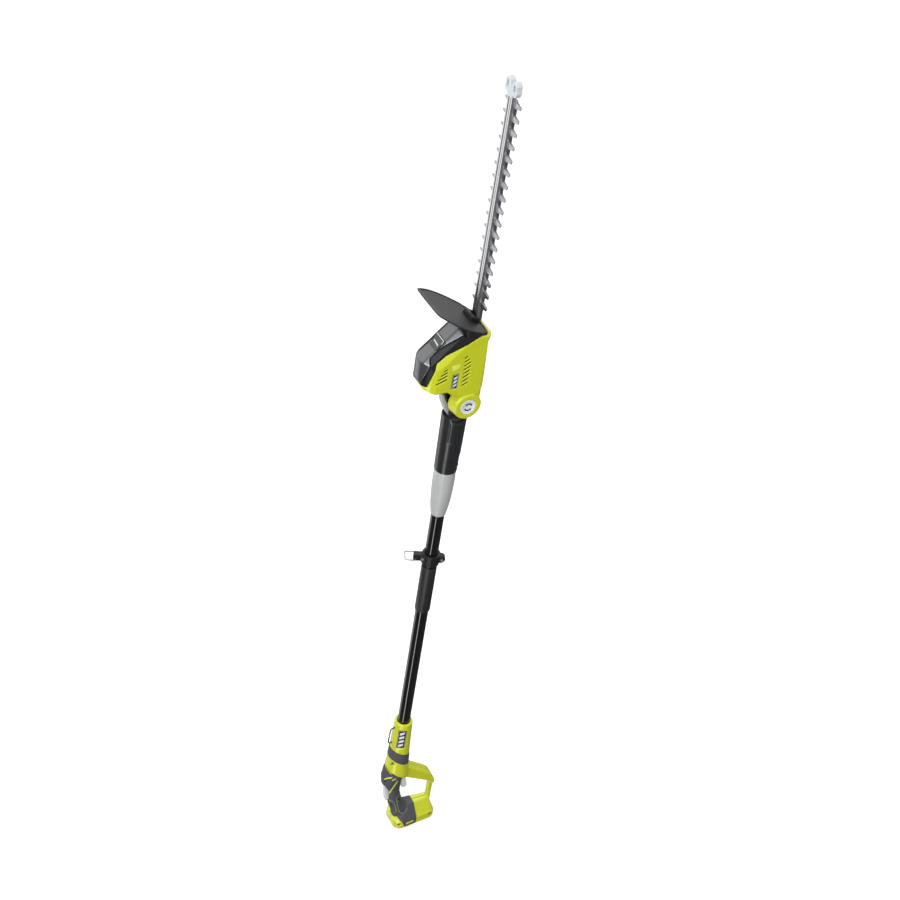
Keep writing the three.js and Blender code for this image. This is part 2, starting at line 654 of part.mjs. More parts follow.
function addGuard() {
  const { tilt, z, thickness } = visor;
  const edge = [[19.6, 30], [5.8, 45], [-5.8, 55], [-39, 60], [-69, 60], [-99, 50], [-112, 35]];
  const outline = [...edge, ...edge.map(([x, y]) => [x, -y]).reverse()];
  const plate = planPlate(outline, -thickness, 0, 0.8);
  const tray = planPlate(outline.map(([x, y]) => [x * 0.93 - 4, y * 0.9]), -1.2, 3);
  const boss = block(-16, 6, -17, 17, -thickness, 8);
  const leaned = joined(minus(plate, tray), boss).rotate([0, tilt, 0]).translate([0, 0, z]);
  const neck = sidePlate([[-24.3, 158.4], [17, 158.4], [17, 167], [-24.3, 190]], 34);
  const slot = block(-1.5, 16, -10, 10, 120, 240);
  const rootRoom = block(-1.5, 16, -16.5, 16.5, 120, 163);
  const shape = minus(joined(leaned, neck), slot, rootRoom, block(17.1, 60, -60, 60, 100, 200));
  headGroup.add(piece('blade_guard', shape, charcoalPlastic));
}

function addPivotHardware() {
  for (const [name, side] of [['pivot_cap_right', -1], ['pivot_cap_left', 1]]) {
    const cap = rod('y', 15.9, 3.2, 0, side * (pivot.halfWidth - 1.1), 0, 24);
    headGroup.add(piece(name, cap, paleGrey));
  }
  const bolt = joined(
    rod('y', 6, 66, 0, 0, 0, 28), rod('y', 9, 3, 0, -32, 0, 6), rod('y', 9, 3, 0, 32, 0, 6),
  );
  headGroup.add(piece('pivot_bolt', bolt, gearSteel));
}

// A spur gear outline with straight flanks, flat tips and flat roots.
function gearOutline(teeth, size) {
  const pitch = (teeth * size) / 2;
  const points = [];
  const rings = [
    [pitch - 1.1 * size, -0.34], [pitch + 0.7 * size, -0.09],
    [pitch + 0.7 * size, 0.09], [pitch - 1.1 * size, 0.34],
  ];
  for (let t = 0; t < teeth; t++) {
    for (const [radius, share] of rings) {
      const angle = ((t + share) * 2 * Math.PI) / teeth;
      points.push([radius * Math.cos(angle), radius * Math.sin(angle)]);
    }
  }
  return points;
}

function gearPlate(teeth, size, x0, x1, z, turn) {
  const gear = facePlate(gearOutline(teeth, size), x0, x1);
  return gear.rotate([turn, 0, 0]).translate([0, 0, z]);
}

function addDrive() {
  const { radius, x0, x1, z } = motor;
  const can = joined(
    rod('x', radius, x1 - x0, (x0 + x1) / 2, 0, z, 24), rod('x', 8, 4, x1 + 1.6, 0, z),
  );
  const shaftHole = rod('x', 3.4, 12, x1 + 1, 0, z);
  headGroup.add(piece('motor', minus(can, shaftHole), gearSteel));
  const { pinionTeeth, wheelTeeth, wheelZ } = gears;
  const pinion = joined(
    rod('x', 3, 28, -20, 0, z, 16),
    gearPlate(pinionTeeth, gears.module, -14.6, -5.4, z, 0),
  );
  headGroup.add(piece('motor_pinion', pinion, gearSteel));

  const wheel = joined(
    gearPlate(wheelTeeth, gears.module, -14, -6, wheelZ, 90 + 180 / wheelTeeth),
    rod('x', 9, 6.5, -3, 0, wheelZ + gears.throw, 20),
    rod('x', 9, 6.5, 3.2, 0, wheelZ - gears.throw, 20),
  );
  headGroup.add(piece('drive_gear', minus(wheel, rod('x', 4.3, 60, 0, 0, wheelZ, 16)), gearSteel));

  const carrier = planPlate([
    [-30, 62], [30, 62], [30, 140], [16, 150], [-16, 150], [-30, 140],
  ], -24, -20).rotate([90, 0, 90]);
  const axle = rod('x', 4, 26, -8.4, 0, wheelZ, 16);
  const plate = minus(joined(carrier, axle), rod('x', 7, 12, -22, 0, z));
  headGroup.add(piece('gearbox_plate', plate, gearSteel));
}

// Tooth outlines in [y, z] for one side, from the bottom up.
function toothSide(short, rootWidth, tipWidth) {
  const points = [];
  for (let i = 0; i < teeth.count; i++) {
    const z = teeth.first + i * teeth.pitch;
    const reach = teeth.tipY - short;
    points.push([teeth.rootY, z - rootWidth / 2], [reach, z - tipWidth / 2]);
    points.push([reach, z + tipWidth / 2], [teeth.rootY, z + rootWidth / 2]);
  }
  return points;
}

const barBolts = [177, 240, 336, 436, 536, 606];
const bladeFoot = { z0: 104, z1: 140, halfWidth: 15 };

function bladeShape(x0, short, rootWidth, tipWidth) {
  const side = toothSide(short, rootWidth, tipWidth);
  const { z0, z1, halfWidth } = bladeFoot;
  const right = [[halfWidth, z0], [halfWidth, z1], [teeth.rootY, z1 + 6], ...side, [6, bar.end - 4]];
  const outline = [...right, ...right.map(([y, z]) => [-y, z]).reverse()];
  const blade = facePlate(outline, x0, x0 + bladeThickness);
  const slots = barBolts.map((z) => block(x0 - 2, x0 + 6, -3.4, 3.4, z - 10, z + 10));
  const yokeSlot = block(x0 - 2, x0 + 6, -11, 11, 112, 132);
  return minus(blade, yokeSlot, ...slots);
}

function addCutter() {
  const { halfWidth: w, x0, x1, start, end } = bar;
  const channel = minus(
    facePlate([[-w, start], [w, start], [w, end], [-w, end]], x0, x1, 0.9),
    block(x0 + 2.2, 20, 2.4 - w, w - 2.4, start + 2.5, end - 2.5),
  );
  headGroup.add(piece('blade_bar', channel, brightSteel));
  const { bladeX } = head;
  headGroup.add(piece('upper_blade', bladeShape(bladeX - 2.6, 0, 13, 6), brightSteel));
  headGroup.add(piece('lower_blade', bladeShape(bladeX + 0.2, 3, 15, 3), brightSteel));
  const boltStart = x0 + 2.5;
  const boltEnd = bladeX + bladeThickness + 1.8;
  barBolts.forEach((z, i) => {
    const bolt = joined(
      rod('x', 3, boltEnd - boltStart, (boltStart + boltEnd) / 2, 0, z, 10),
      rod('x', 5.5, 2.6, boltEnd, 0, z, 6),
    );
    headGroup.add(piece(`bar_bolt_${i + 1}`, bolt, gearSteel));
  });
  const lobes = facePlate([
    [-17, end + 5], [17, end + 5], [20, end + 12], ...arc(11, end + 23, 8.5, -20, 150, 5),
    [0, end + 18], ...arc(-11, end + 23, 8.5, 30, 200, 5), [-20, end + 12],
  ], 1, 12.5, 1);
  const root = block(1, x1, -w, w, end + gap, end + 8);
  const slots = [1, -1].map((side) => (
    block(-10, 20, side * 11 - 3, side * 11 + 3, end + 13, end + 25)
  ));
  headGroup.add(piece('tip_guard', minus(joined(lobes, root), ...slots), whitePlastic));
}

addRearHandle();
addControls();
addPole();
addCoupling();
addUpperSleeve();
addHeadShells();
addGuard();
addPivotHardware();
addDrive();
addCutter();
for (const { name, x, y, z } of headScrews) {
  const screw = screwShape({ x: -x, y: -y, z }, 10).rotate([0, 0, 180]);
  headGroup.add(piece(name, screw, gearSteel));
}

export default part;
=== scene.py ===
import math

import bmesh
import bpy
from mathutils import Matrix, Vector


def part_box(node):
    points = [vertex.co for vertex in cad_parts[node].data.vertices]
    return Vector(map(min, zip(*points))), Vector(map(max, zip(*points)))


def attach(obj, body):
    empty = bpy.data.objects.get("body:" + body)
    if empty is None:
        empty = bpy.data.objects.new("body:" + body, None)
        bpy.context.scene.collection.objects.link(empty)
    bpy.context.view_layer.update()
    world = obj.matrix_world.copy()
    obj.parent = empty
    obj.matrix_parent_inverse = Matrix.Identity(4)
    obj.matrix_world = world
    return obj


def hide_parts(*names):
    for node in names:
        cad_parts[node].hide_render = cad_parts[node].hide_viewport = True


# Pole hedge trimmer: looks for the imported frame. Sizes below are millimetres unless named otherwise.
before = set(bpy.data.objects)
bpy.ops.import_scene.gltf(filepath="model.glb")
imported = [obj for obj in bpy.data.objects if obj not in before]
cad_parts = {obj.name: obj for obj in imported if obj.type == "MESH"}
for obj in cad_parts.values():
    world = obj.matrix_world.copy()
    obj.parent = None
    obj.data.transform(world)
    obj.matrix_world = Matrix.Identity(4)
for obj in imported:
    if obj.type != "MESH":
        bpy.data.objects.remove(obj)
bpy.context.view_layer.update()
mm = 0.001
fullTurn = 2 * math.pi


# Finishes, each one built from nodes.
def nodeMaterial(name):
    material = bpy.data.materials.new(name)
    material.use_nodes = True
    tree = material.node_tree
    tree.nodes.clear()
    output = tree.nodes.new("ShaderNodeOutputMaterial")
    shader = tree.nodes.new("ShaderNodeBsdfPrincipled")
    tree.links.new(shader.outputs["BSDF"], output.inputs["Surface"])
    return material, tree, shader


def objectNoise(tree, scale, detail, stretch=(1, 1, 1)):
    coordinates = tree.nodes.new("ShaderNodeTexCoord")
    mapping = tree.nodes.new("ShaderNodeMapping")
    mapping.inputs["Scale"].default_value = stretch
    noise = tree.nodes.new("ShaderNodeTexNoise")
    noise.inputs["Scale"].default_value = scale
    noise.inputs["Detail"].default_value = detail
    tree.links.new(coordinates.outputs["Object"], mapping.inputs["Vector"])
    tree.links.new(mapping.outputs["Vector"], noise.inputs["Vector"])
    return noise


def between(tree, source, low, high):
    span = tree.nodes.new("ShaderNodeMapRange")
    span.inputs["To Min"].default_value = low
    span.inputs["To Max"].default_value = high
    tree.links.new(source, span.inputs["Value"])
    return span.outputs["Result"]


def mixColors(tree, factor, first, second):
    mix = tree.nodes.new("ShaderNodeMix")
    mix.data_type = "RGBA"
    tree.links.new(factor, mix.inputs["Factor"])
    for socket, color in (("A", first), ("B", second)):
        target = [s for s in mix.inputs if s.name == socket and s.type == "RGBA"][0]
        if isinstance(color, bpy.types.NodeSocket):
            tree.links.new(color, target)
        else:
            target.default_value = (*color, 1)
    return [s for s in mix.outputs if s.type == "RGBA"][0]


# Moulded plastic or rubber: faint tone drift, grain in the bump, uneven gloss.
def mouldedFinish(name, color, roughness, grainScale=900, grain=0.05, drift=0.12, coat=0.0, shine=0.5):
    material, tree, shader = nodeMaterial(name)
    broad = objectNoise(tree, 18, 3)
    darker = tuple(c * (1 - drift) for c in color)
    lighter = tuple(min(1, c * (1 + drift * 0.6)) for c in color)
    tone = mixColors(tree, broad.outputs["Fac"], darker, lighter)
    tree.links.new(tone, shader.inputs["Base Color"])
    fine = objectNoise(tree, grainScale, 4)
    gloss = between(tree, fine.outputs["Fac"], roughness * 0.85, roughness * 1.15)
    tree.links.new(gloss, shader.inputs["Roughness"])
    bump = tree.nodes.new("ShaderNodeBump")
    bump.inputs["Strength"].default_value = grain
    bump.inputs["Distance"].default_value = 0.0004
    tree.links.new(fine.outputs["Fac"], bump.inputs["Height"])
    tree.links.new(bump.outputs["Normal"], shader.inputs["Normal"])
    shader.inputs["Specular IOR Level"].default_value = shine
    shader.inputs["Coat Weight"].default_value = coat
    shader.inputs["Coat Roughness"].default_value = 0.12
    return material


# Worked metal with fine streaks along one direction.
def metalFinish(name, color, roughness, stretch=(40, 40, 1), streak=0.08, scale=30):
    material, tree, shader = nodeMaterial(name)
    shader.inputs["Metallic"].default_value = 1
    lines = objectNoise(tree, scale, 5, stretch)
    tone = mixColors(tree, lines.outputs["Fac"], tuple(c * 0.86 for c in color), color)
    tree.links.new(tone, shader.inputs["Base Color"])
    gloss = between(tree, lines.outputs["Fac"], roughness * 0.75, roughness * 1.3)
    tree.links.new(gloss, shader.inputs["Roughness"])
    bump = tree.nodes.new("ShaderNodeBump")
    bump.inputs["Strength"].default_value = streak
    bump.inputs["Distance"].default_value = 0.0003
    tree.links.new(lines.outputs["Fac"], bump.inputs["Height"])
    tree.links.new(bump.outputs["Normal"], shader.inputs["Normal"])
    return material


# Soft grip rubber whose accent strokes are painted by the mesh's own "accent" values; its small near-black
# spots are painted shade for the dark inside of holes.
def gripFinish(name, color, accentColor, lineColor):
    material = mouldedFinish(name, color, 0.6, 1400, 0.22, 0.2, 0, 0.3)
    tree = material.node_tree
    shader = [n for n in tree.nodes if n.type == "BSDF_PRINCIPLED"][0]
    tone = shader.inputs["Base Color"].links[0].from_socket
    # The near-black paint on the small holes is painted shade, not the rubber's own colour.
    paints = {"contour": lineColor, "accent": accentColor, "holeShade": (0.004, 0.004, 0.005)}
    for attribute, paint in paints.items():
        mask = tree.nodes.new("ShaderNodeAttribute")
        mask.attribute_name = attribute
        edge = between(tree, mask.outputs["Fac"], 0, 1)
        edge.node.inputs["From Min"].default_value = 0.35
        edge.node.inputs["From Max"].default_value = 0.65
        tone = mixColors(tree, edge, tone, paint)
    tree.links.new(tone, shader.inputs["Base Color"])
    return material


limeColor = (0.47, 0.515, 0.012)
finishes = {
    "lime": mouldedFinish("limeShell", limeColor, 0.36, 700, 0.05, 0.05, 0.25),
    "limePale": mouldedFinish("limePale", (0.6, 0.66, 0.09), 0.4, 700, 0.03, 0.04),
    "grip": gripFinish("gripRubber", (0.062, 0.06, 0.074), (0.53, 0.6, 0.05), (0.22, 0.25, 0.1)),
    "black": mouldedFinish("blackPlastic", (0.009, 0.009, 0.01), 0.4, 1100, 0.12, 0.25, 0, 0.35),
    "sleeve": mouldedFinish("sleevePlastic", (0.014, 0.015, 0.017), 0.3, 900, 0.05, 0.15, 0, 0.5),
    "belt": mouldedFinish("beltPlastic", (0.0055, 0.0058, 0.0065), 0.45, 900, 0.05, 0.15, 0, 0.25),
    "foam": mouldedFinish("foamSleeve", (0.013, 0.014, 0.014), 0.46, 1600, 0.3, 0.3, 0, 0.4),
    "charcoal": mouldedFinish("charcoalPlastic", (0.014, 0.015, 0.0145), 0.4, 800, 0.05, 0.15, 0, 0.4),
    "hood": mouldedFinish("hoodPaint", (0.085, 0.087, 0.092), 0.3, 2200, 0.05, 0.1, 0.35),
    "grey": mouldedFinish("greyPlastic", (0.37, 0.375, 0.375), 0.42, 900, 0.06, 0.06),
    "pale": mouldedFinish("palePlastic", (0.62, 0.63, 0.63), 0.4, 900, 0.05, 0.05),
    "silver": mouldedFinish("silverCap", (0.62, 0.64, 0.66), 0.32, 900, 0.03, 0.05, 0.3),
    "white": mouldedFinish("paleNose", (0.5, 0.52, 0.54), 0.38, 900, 0.05, 0.05),
    "pole": mouldedFinish("polePaint", (0.003, 0.003, 0.0035), 0.13, 600, 0.01, 0.2, 0, 0.6),
    "wire": mouldedFinish("wireCover", (0.3, 0.03, 0.02), 0.5, 500, 0.1),
    "steel": metalFinish("machinedSteel", (0.34, 0.35, 0.37), 0.34),
    "bright": metalFinish("groundSteel", (0.74, 0.75, 0.77), 0.26, (60, 60, 1), 0.05),
    "tooth": metalFinish("toothSteel", (0.42, 0.42, 0.44), 0.3, (1, 40, 40), 0.1),
}
finishes["hood"].node_tree.nodes["Principled BSDF"].inputs["Metallic"].default_value = 0.55
print("materials made")


# Mesh helpers.
def newObject(name, mesh, material=None):
    obj = bpy.data.objects.new(name, mesh)
    bpy.context.scene.collection.objects.link(obj)
    if material:
        mesh.materials.append(finishes[material])
    return obj


def fromFaces(name, vertices, faces, material, smooth=True, merge=True):
    mesh = bpy.data.meshes.new(name)
    mesh.from_pydata([Vector(v) * mm for v in vertices], [], faces)
    work = bmesh.new()
    work.from_mesh(mesh)
    if merge:
        bmesh.ops.remove_doubles(work, verts=work.verts, dist=1e-6)
    bmesh.ops.recalc_face_normals(work, faces=work.faces)
    work.to_mesh(mesh)
    work.free()
    for polygon in mesh.polygons:
        polygon.use_smooth = smooth
    return newObject(name, mesh, material)


def applied(obj):
    mesh = bpy.data.meshes.new_from_object(
        obj.evaluated_get(bpy.context.evaluated_depsgraph_get())
    )
    obj.modifiers.clear()
    old = obj.data
    obj.data = mesh
    bpy.data.meshes.remove(old)
    return obj


def byAngle(obj, degrees=32):
    work = bmesh.new()
    work.from_mesh(obj.data)
    limit = math.radians(degrees)
    for edge in work.edges:
        edge.smooth = len(edge.link_faces) == 2 and edge.calc_face_angle(0) < limit
    for face in work.faces:
        face.smooth = True
    work.to_mesh(obj.data)
    work.free()
    return obj


def cadCopy(name, node, material):
    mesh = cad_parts[node].data.copy()
    mesh.materials.clear()
    work = bmesh.new()
    work.from_mesh(mesh)
    bmesh.ops.remove_doubles(work, verts=work.verts, dist=2e-6)
    bmesh.ops.recalc_face_normals(work, faces=work.faces)
    work.to_mesh(mesh)
    work.free()
    return newObject(name, mesh, material)


def softened(obj, voxel, rounds):
    remesh = obj.modifiers.new("remesh", "REMESH")
    remesh.mode = "VOXEL"
    remesh.voxel_size = voxel * mm
    remesh.use_smooth_shade = True
    soften = obj.modifiers.new("soften", "SMOOTH")
    soften.factor = 0.5
    soften.iterations = rounds
    return applied(obj)


# A CAD shape with its edges worn soft, as it comes out of a mould.
def moulded(name, node, material, voxel, rounds):
    obj = softened(cadCopy(name, node, material), voxel, rounds)
    if not obj.data.materials:
        obj.data.materials.append(finishes[material])
    return obj


def bevelled(obj, width, segments=3, angle=30):
    bevel = obj.modifiers.new("bevel", "BEVEL")
    bevel.width = width * mm
    bevel.segments = segments
    bevel.limit_method = "ANGLE"
    bevel.angle_limit = math.radians(angle)
    return byAngle(applied(obj), 40)


def joinedPiece(name, objects):
    target = objects[0]
    work = bmesh.new()
    slots = []
    for obj in objects:
        start = len(work.faces)
        work.from_mesh(obj.data)
        work.faces.ensure_lookup_table()
        for face in work.faces[start:]:
            material = obj.data.materials[face.material_index]
            if material not in slots:
                slots.append(material)
            face.material_index = slots.index(material)
    mesh = bpy.data.meshes.new(name)
    work.to_mesh(mesh)
    work.free()
    for material in slots:
        mesh.materials.append(material)
    for obj in objects:
        bpy.data.objects.remove(obj)
    return newObject(name, mesh)


def cut(obj, tool, operation="DIFFERENCE"):
    boolean = obj.modifiers.new("cut", "BOOLEAN")
    boolean.operation = operation
    boolean.object = tool
    boolean.solver = "EXACT"
    applied(obj)
    bpy.data.objects.remove(tool)
    return obj


# Faces between rings of points that close on themselves both ways.
def ringFaces(rings, count):
    faces = []
    for i in range(rings):
        j = (i + 1) % rings
        for k in range(count):
            m = (k + 1) % count
            faces.append((i * count + k, j * count + k, j * count + m, i * count + m))
    return faces


# Two end faces and the sides between them.
def prismFaces(count):
    faces = [tuple(range(count)), tuple(range(2 * count - 1, count - 1, -1))]
    for i in range(count):
        j = (i + 1) % count
        faces.append((i, j, count + j, count + i))
    return faces


def radiusAt(profile, height):
    for (z0, r0), (z1, r1) in zip(profile, profile[1:]):
        if height <= z1:
            return r0 + (r1 - r0) * max(0, height - z0) / (z1 - z0)
    return profile[-1][1]


# A surface turned about +Z from a closed loop of radius and height points.
def turned(name, loop, material, segments=96, degrees=40):
    vertices = []
    for i in range(segments):
        angle = fullTurn * i / segments
        for radius, height in loop:
            vertices.append((radius * math.cos(angle), radius * math.sin(angle), height))
    faces = ringFaces(segments, len(loop))
    return byAngle(fromFaces(name, vertices, faces, material), degrees)


def extruded(name, outline, y0, y1, material, degrees=30):
    vertices = [(x, y0, z) for x, z in outline] + [(x, y1, z) for x, z in outline]
    return byAngle(fromFaces(name, vertices, prismFaces(len(outline)), material), degrees)


def block(name, low, high, material):
    x0, y0, z0 = low
    x1, y1, z1 = high
    return extruded(name, [(x0, z0), (x1, z0), (x1, z1), (x0, z1)], y0, y1, material)


def place(obj, turn=None, shift=(0, 0, 0)):
    matrix = Matrix.Translation(Vector(shift) * mm)
    if turn:
        degrees, axis = turn
        matrix = matrix @ Matrix.Rotation(math.radians(degrees), 4, axis)
    obj.data.transform(matrix)
    return obj


def smoothPath(points, steps=8, closed=False):
    count = len(points)
    result = []
    last = count if closed else count - 1
    for i in range(last):
        if closed:
            a, b, c, d = (Vector(points[(i + k) % count]) for k in (-1, 0, 1, 2))
        else:
            a = Vector(points[max(i - 1, 0)])
            b, c = Vector(points[i]), Vector(points[i + 1])
            d = Vector(points[min(i + 2, count - 1)])
        for s in range(steps):
            t = s / steps
            point = b * 2 + (c - a) * t + (a * 2 - b * 5 + c * 4 - d) * t * t
            result.append((point + (b * 3 - a - c * 3 + d) * t * t * t) * 0.5)
    if not closed:
        result.append(Vector(points[-1]))
    return result


def tube(name, points, radius, material, sides=20, closed=False):
    path = [Vector(p) for p in points]
    count = len(path)
    vertices = []
    faces = []
    normal = None
    for i, point in enumerate(path):
        before = path[i - 1] if closed or i else path[0]
        after = path[(i + 1) % count] if closed or i + 1 < count else path[-1]
        along = (after - before).normalized()
        if normal is None:
            normal = along.orthogonal().normalized()
        normal = (normal - along * normal.dot(along)).normalized()
        side = along.cross(normal)
        for k in range(sides):
            angle = fullTurn * k / sides
            vertices.append(point + (normal * math.cos(angle) + side * math.sin(angle)) * radius)
    for i in range(count if closed else count - 1):
        j = (i + 1) % count
        for k in range(sides):
            m = (k + 1) % sides
            faces.append((i * sides + k, i * sides + m, j * sides + m, j * sides + k))
    if not closed:
        faces.append(tuple(range(sides)))
        faces.append(tuple(range(count * sides - 1, (count - 1) * sides - 1, -1)))
    return byAngle(fromFaces(name, vertices, faces, material), 50)


def settle(obj, body, nodes):
    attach(obj, body)
    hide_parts(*nodes)
    return obj


# Camera and light.
camera = {
    "position": (-1.4090, -2.1696, 3.2125),
    "right": (0.8829, -0.4520, 0.1271),
    "up": (0.2018, 0.6097, 0.7665),
    "back": (-0.4240, -0.6511, 0.6295),
    "lens": 70,
}
cameraData = bpy.data.cameras.new("camera")
cameraData.lens = camera["lens"]
cameraData.sensor_width = 36
cameraData.clip_end = 60
cameraObject = bpy.data.objects.new("camera", cameraData)
cameraObject.matrix_world = Matrix.Translation(camera["position"]) @ Matrix(
    (camera["right"], camera["up"], camera["back"])
).transposed().to_4x4()
bpy.context.scene.collection.objects.link(cameraObject)
bpy.context.scene.camera = cameraObject

studio = {
    "sky": 1.0,
    "ground": 0.13,
    "cards": [(123, 19, 1.25), (-136, 5, 7)],
    "lamps": {
        "key": ((-2.6, -1.3, 2.6), (0, 0, 1.0), 0.9, 40),
        "front": ((0.6, -3.0, 2.2), (0, 0, 0.9), 0.5, 9),
        "rim": ((1.6, 1.8, 2.4), (0, 0, 1.1), 1.2, 12),
    },
}
world = bpy.data.worlds.new("studio")
world.use_nodes = True
background = world.node_tree.nodes["Background"]
background.inputs["Color"].default_value = (1, 1, 1, 1)
skyDirection = world.node_tree.nodes.new("ShaderNodeTexCoord")
skySplit = world.node_tree.nodes.new("ShaderNodeSeparateXYZ")
world.node_tree.links.new(skyDirection.outputs["Generated"], skySplit.inputs["Vector"])
skyLevel = between(world.node_tree, skySplit.outputs["Z"], studio["ground"], studio["sky"])
skyLevel.node.inputs["From Min"].default_value = -0.25
skyLevel.node.inputs["From Max"].default_value = 0.35
# Tall reflection cards stand around the object: direction and half-width in degrees, then brightness.
flatDirection = world.node_tree.nodes.new("ShaderNodeVectorMath")
flatDirection.operation = "MULTIPLY"
flatDirection.inputs[1].default_value = (1, 1, 0)
world.node_tree.links.new(skyDirection.outputs["Generated"], flatDirection.inputs[0])
unitDirection = world.node_tree.nodes.new("ShaderNodeVectorMath")
unitDirection.operation = "NORMALIZE"
world.node_tree.links.new(flatDirection.outputs[0], unitDirection.inputs[0])
level = skyLevel
for heading, halfWidth, brightness in studio["cards"]:
    facing = world.node_tree.nodes.new("ShaderNodeVectorMath")
    facing.operation = "DOT_PRODUCT"
    angle = math.radians(heading)
    facing.inputs[1].default_value = (math.cos(angle), math.sin(angle), 0)
    world.node_tree.links.new(unitDirection.outputs[0], facing.inputs[0])
    card = between(world.node_tree, facing.outputs["Value"], 0, brightness)
    card.node.inputs["From Min"].default_value = math.cos(math.radians(halfWidth * 1.3))
    card.node.inputs["From Max"].default_value = math.cos(math.radians(halfWidth * 0.7))
    total = world.node_tree.nodes.new("ShaderNodeMath")
    world.node_tree.links.new(level, total.inputs[0])
    world.node_tree.links.new(card, total.inputs[1])
    level = total.outputs[0]
# The camera itself sees a plain white surround.
seen = world.node_tree.nodes.new("ShaderNodeLightPath")
surround = world.node_tree.nodes.new("ShaderNodeMath")
surround.operation = "MAXIMUM"
world.node_tree.links.new(level, surround.inputs[0])
world.node_tree.links.new(seen.outputs["Is Camera Ray"], surround.inputs[1])
world.node_tree.links.new(surround.outputs[0], background.inputs["Strength"])
bpy.context.scene.world = world
for lampName, (spot, aim, size, power) in studio["lamps"].items():
    lamp = bpy.data.lights.new(lampName, "AREA")
    lamp.size = size
    lamp.energy = power
    lampObject = bpy.data.objects.new(lampName, lamp)
    lampObject.location = spot
    aimAt = (Vector(aim) - Vector(spot)).to_track_quat("-Z", "Y")
    lampObject.rotation_euler = aimAt.to_euler()
    bpy.context.scene.collection.objects.link(lampObject)

floor = {"half": 9000, "top": -0.5, "color": (0.93, 0.93, 0.93)}
finishes["floor"] = mouldedFinish("floorPaper", floor["color"], 0.8, 30, 0.01, 0.01)
floorObject = block(
    "floor",
    (-floor["half"], -floor["half"], floor["top"] - 4),
    (floor["half"], floor["half"], floor["top"]),
    "floor",
)
floorObject.visible_glossy = False
floorObject.visible_diffuse = False
bpy.context.scene.view_settings.view_transform = "Standard"
print("camera, light and floor set")


# Screws, laid out by Geometry Nodes.
screw = {"sides": 24, "recess": 6, "headShare": 0.62}


def addInput(tree, name, kind, value):
    socket = tree.interface.new_socket(name, in_out="INPUT", socket_type=kind)
    socket.default_value = value
    return socket


def screwTree(name, material):
    tree = bpy.data.node_groups.new(name, "GeometryNodeTree")
    tree.interface.new_socket("Geometry", in_out="INPUT", socket_type="NodeSocketGeometry")
    addInput(tree, "Head radius", "NodeSocketFloat", 3.4 * mm)
    addInput(tree, "Head height", "NodeSocketFloat", 2.4 * mm)
    addInput(tree, "Shank radius", "NodeSocketFloat", 1.6 * mm)
    addInput(tree, "Shank length", "NodeSocketFloat", 9 * mm)
    addInput(tree, "Turn", "NodeSocketVector", (0, 0, 0))
    tree.interface.new_socket("Geometry", in_out="OUTPUT", socket_type="NodeSocketGeometry")
    nodes, links = tree.nodes, tree.links
    source = nodes.new("NodeGroupInput")
    result = nodes.new("NodeGroupOutput")
    head = nodes.new("GeometryNodeMeshCylinder")
    head.inputs["Vertices"].default_value = screw["sides"]
    links.new(source.outputs["Head radius"], head.inputs["Radius"])
    links.new(source.outputs["Head height"], head.inputs["Depth"])
    socketHole = nodes.new("GeometryNodeMeshCylinder")
    socketHole.inputs["Vertices"].default_value = screw["recess"]
    share = nodes.new("ShaderNodeMath")
    share.operation = "MULTIPLY"
    share.inputs[1].default_value = screw["headShare"]
    links.new(source.outputs["Head radius"], share.inputs[0])
    links.new(share.outputs[0], socketHole.inputs["Radius"])
    links.new(source.outputs["Head height"], socketHole.inputs["Depth"])
    lift = nodes.new("ShaderNodeCombineXYZ")
    links.new(source.outputs["Head height"], lift.inputs["Z"])
    shareLift = nodes.new("ShaderNodeVectorMath")
    shareLift.operation = "SCALE"
    shareLift.inputs["Scale"].default_value = 0.5
    links.new(lift.outputs[0], shareLift.inputs[0])
    raised = nodes.new("GeometryNodeTransform")
    links.new(socketHole.outputs["Mesh"], raised.inputs["Geometry"])
    links.new(shareLift.outputs[0], raised.inputs["Translation"])
    drilled = nodes.new("GeometryNodeMeshBoolean")
    drilled.operation = "DIFFERENCE"
    links.new(head.outputs["Mesh"], drilled.inputs["Mesh 1"])
    links.new(raised.outputs["Geometry"], drilled.inputs["Mesh 2"])
    shank = nodes.new("GeometryNodeMeshCylinder")
    shank.inputs["Vertices"].default_value = 12
    links.new(source.outputs["Shank radius"], shank.inputs["Radius"])
    links.new(source.outputs["Shank length"], shank.inputs["Depth"])
    drop = nodes.new("ShaderNodeMath")
    drop.operation = "MULTIPLY"
    drop.inputs[1].default_value = -0.5
    links.new(source.outputs["Shank length"], drop.inputs[0])
    below = nodes.new("ShaderNodeCombineXYZ")
    links.new(drop.outputs[0], below.inputs["Z"])
    lowered = nodes.new("GeometryNodeTransform")
    links.new(shank.outputs["Mesh"], lowered.inputs["Geometry"])
    links.new(below.outputs[0], lowered.inputs["Translation"])
    both = nodes.new("GeometryNodeJoinGeometry")
    links.new(drilled.outputs["Mesh"], both.inputs[0])
    links.new(lowered.outputs["Geometry"], both.inputs[0])
    points = nodes.new("GeometryNodeMeshToPoints")
    links.new(source.outputs["Geometry"], points.inputs["Mesh"])
    spread = nodes.new("GeometryNodeInstanceOnPoints")
    links.new(points.outputs["Points"], spread.inputs["Points"])
    links.new(both.outputs[0], spread.inputs["Instance"])
    links.new(source.outputs["Turn"], spread.inputs["Rotation"])
    real = nodes.new("GeometryNodeRealizeInstances")
    links.new(spread.outputs["Instances"], real.inputs["Geometry"])
    paint = nodes.new("GeometryNodeSetMaterial")
    paint.inputs["Material"].default_value = finishes[material]
    links.new(real.outputs["Geometry"], paint.inputs["Geometry"])
    links.new(paint.outputs["Geometry"], result.inputs[0])
    return tree


def runTree(obj, tree, values):
    modifier = obj.modifiers.new("nodes", "NODES")
    modifier.node_group = tree
    for item in tree.interface.items_tree:
        if item.in_out == "INPUT" and item.name in values:
            modifier[item.identifier] = values[item.name]
    return applied(obj)


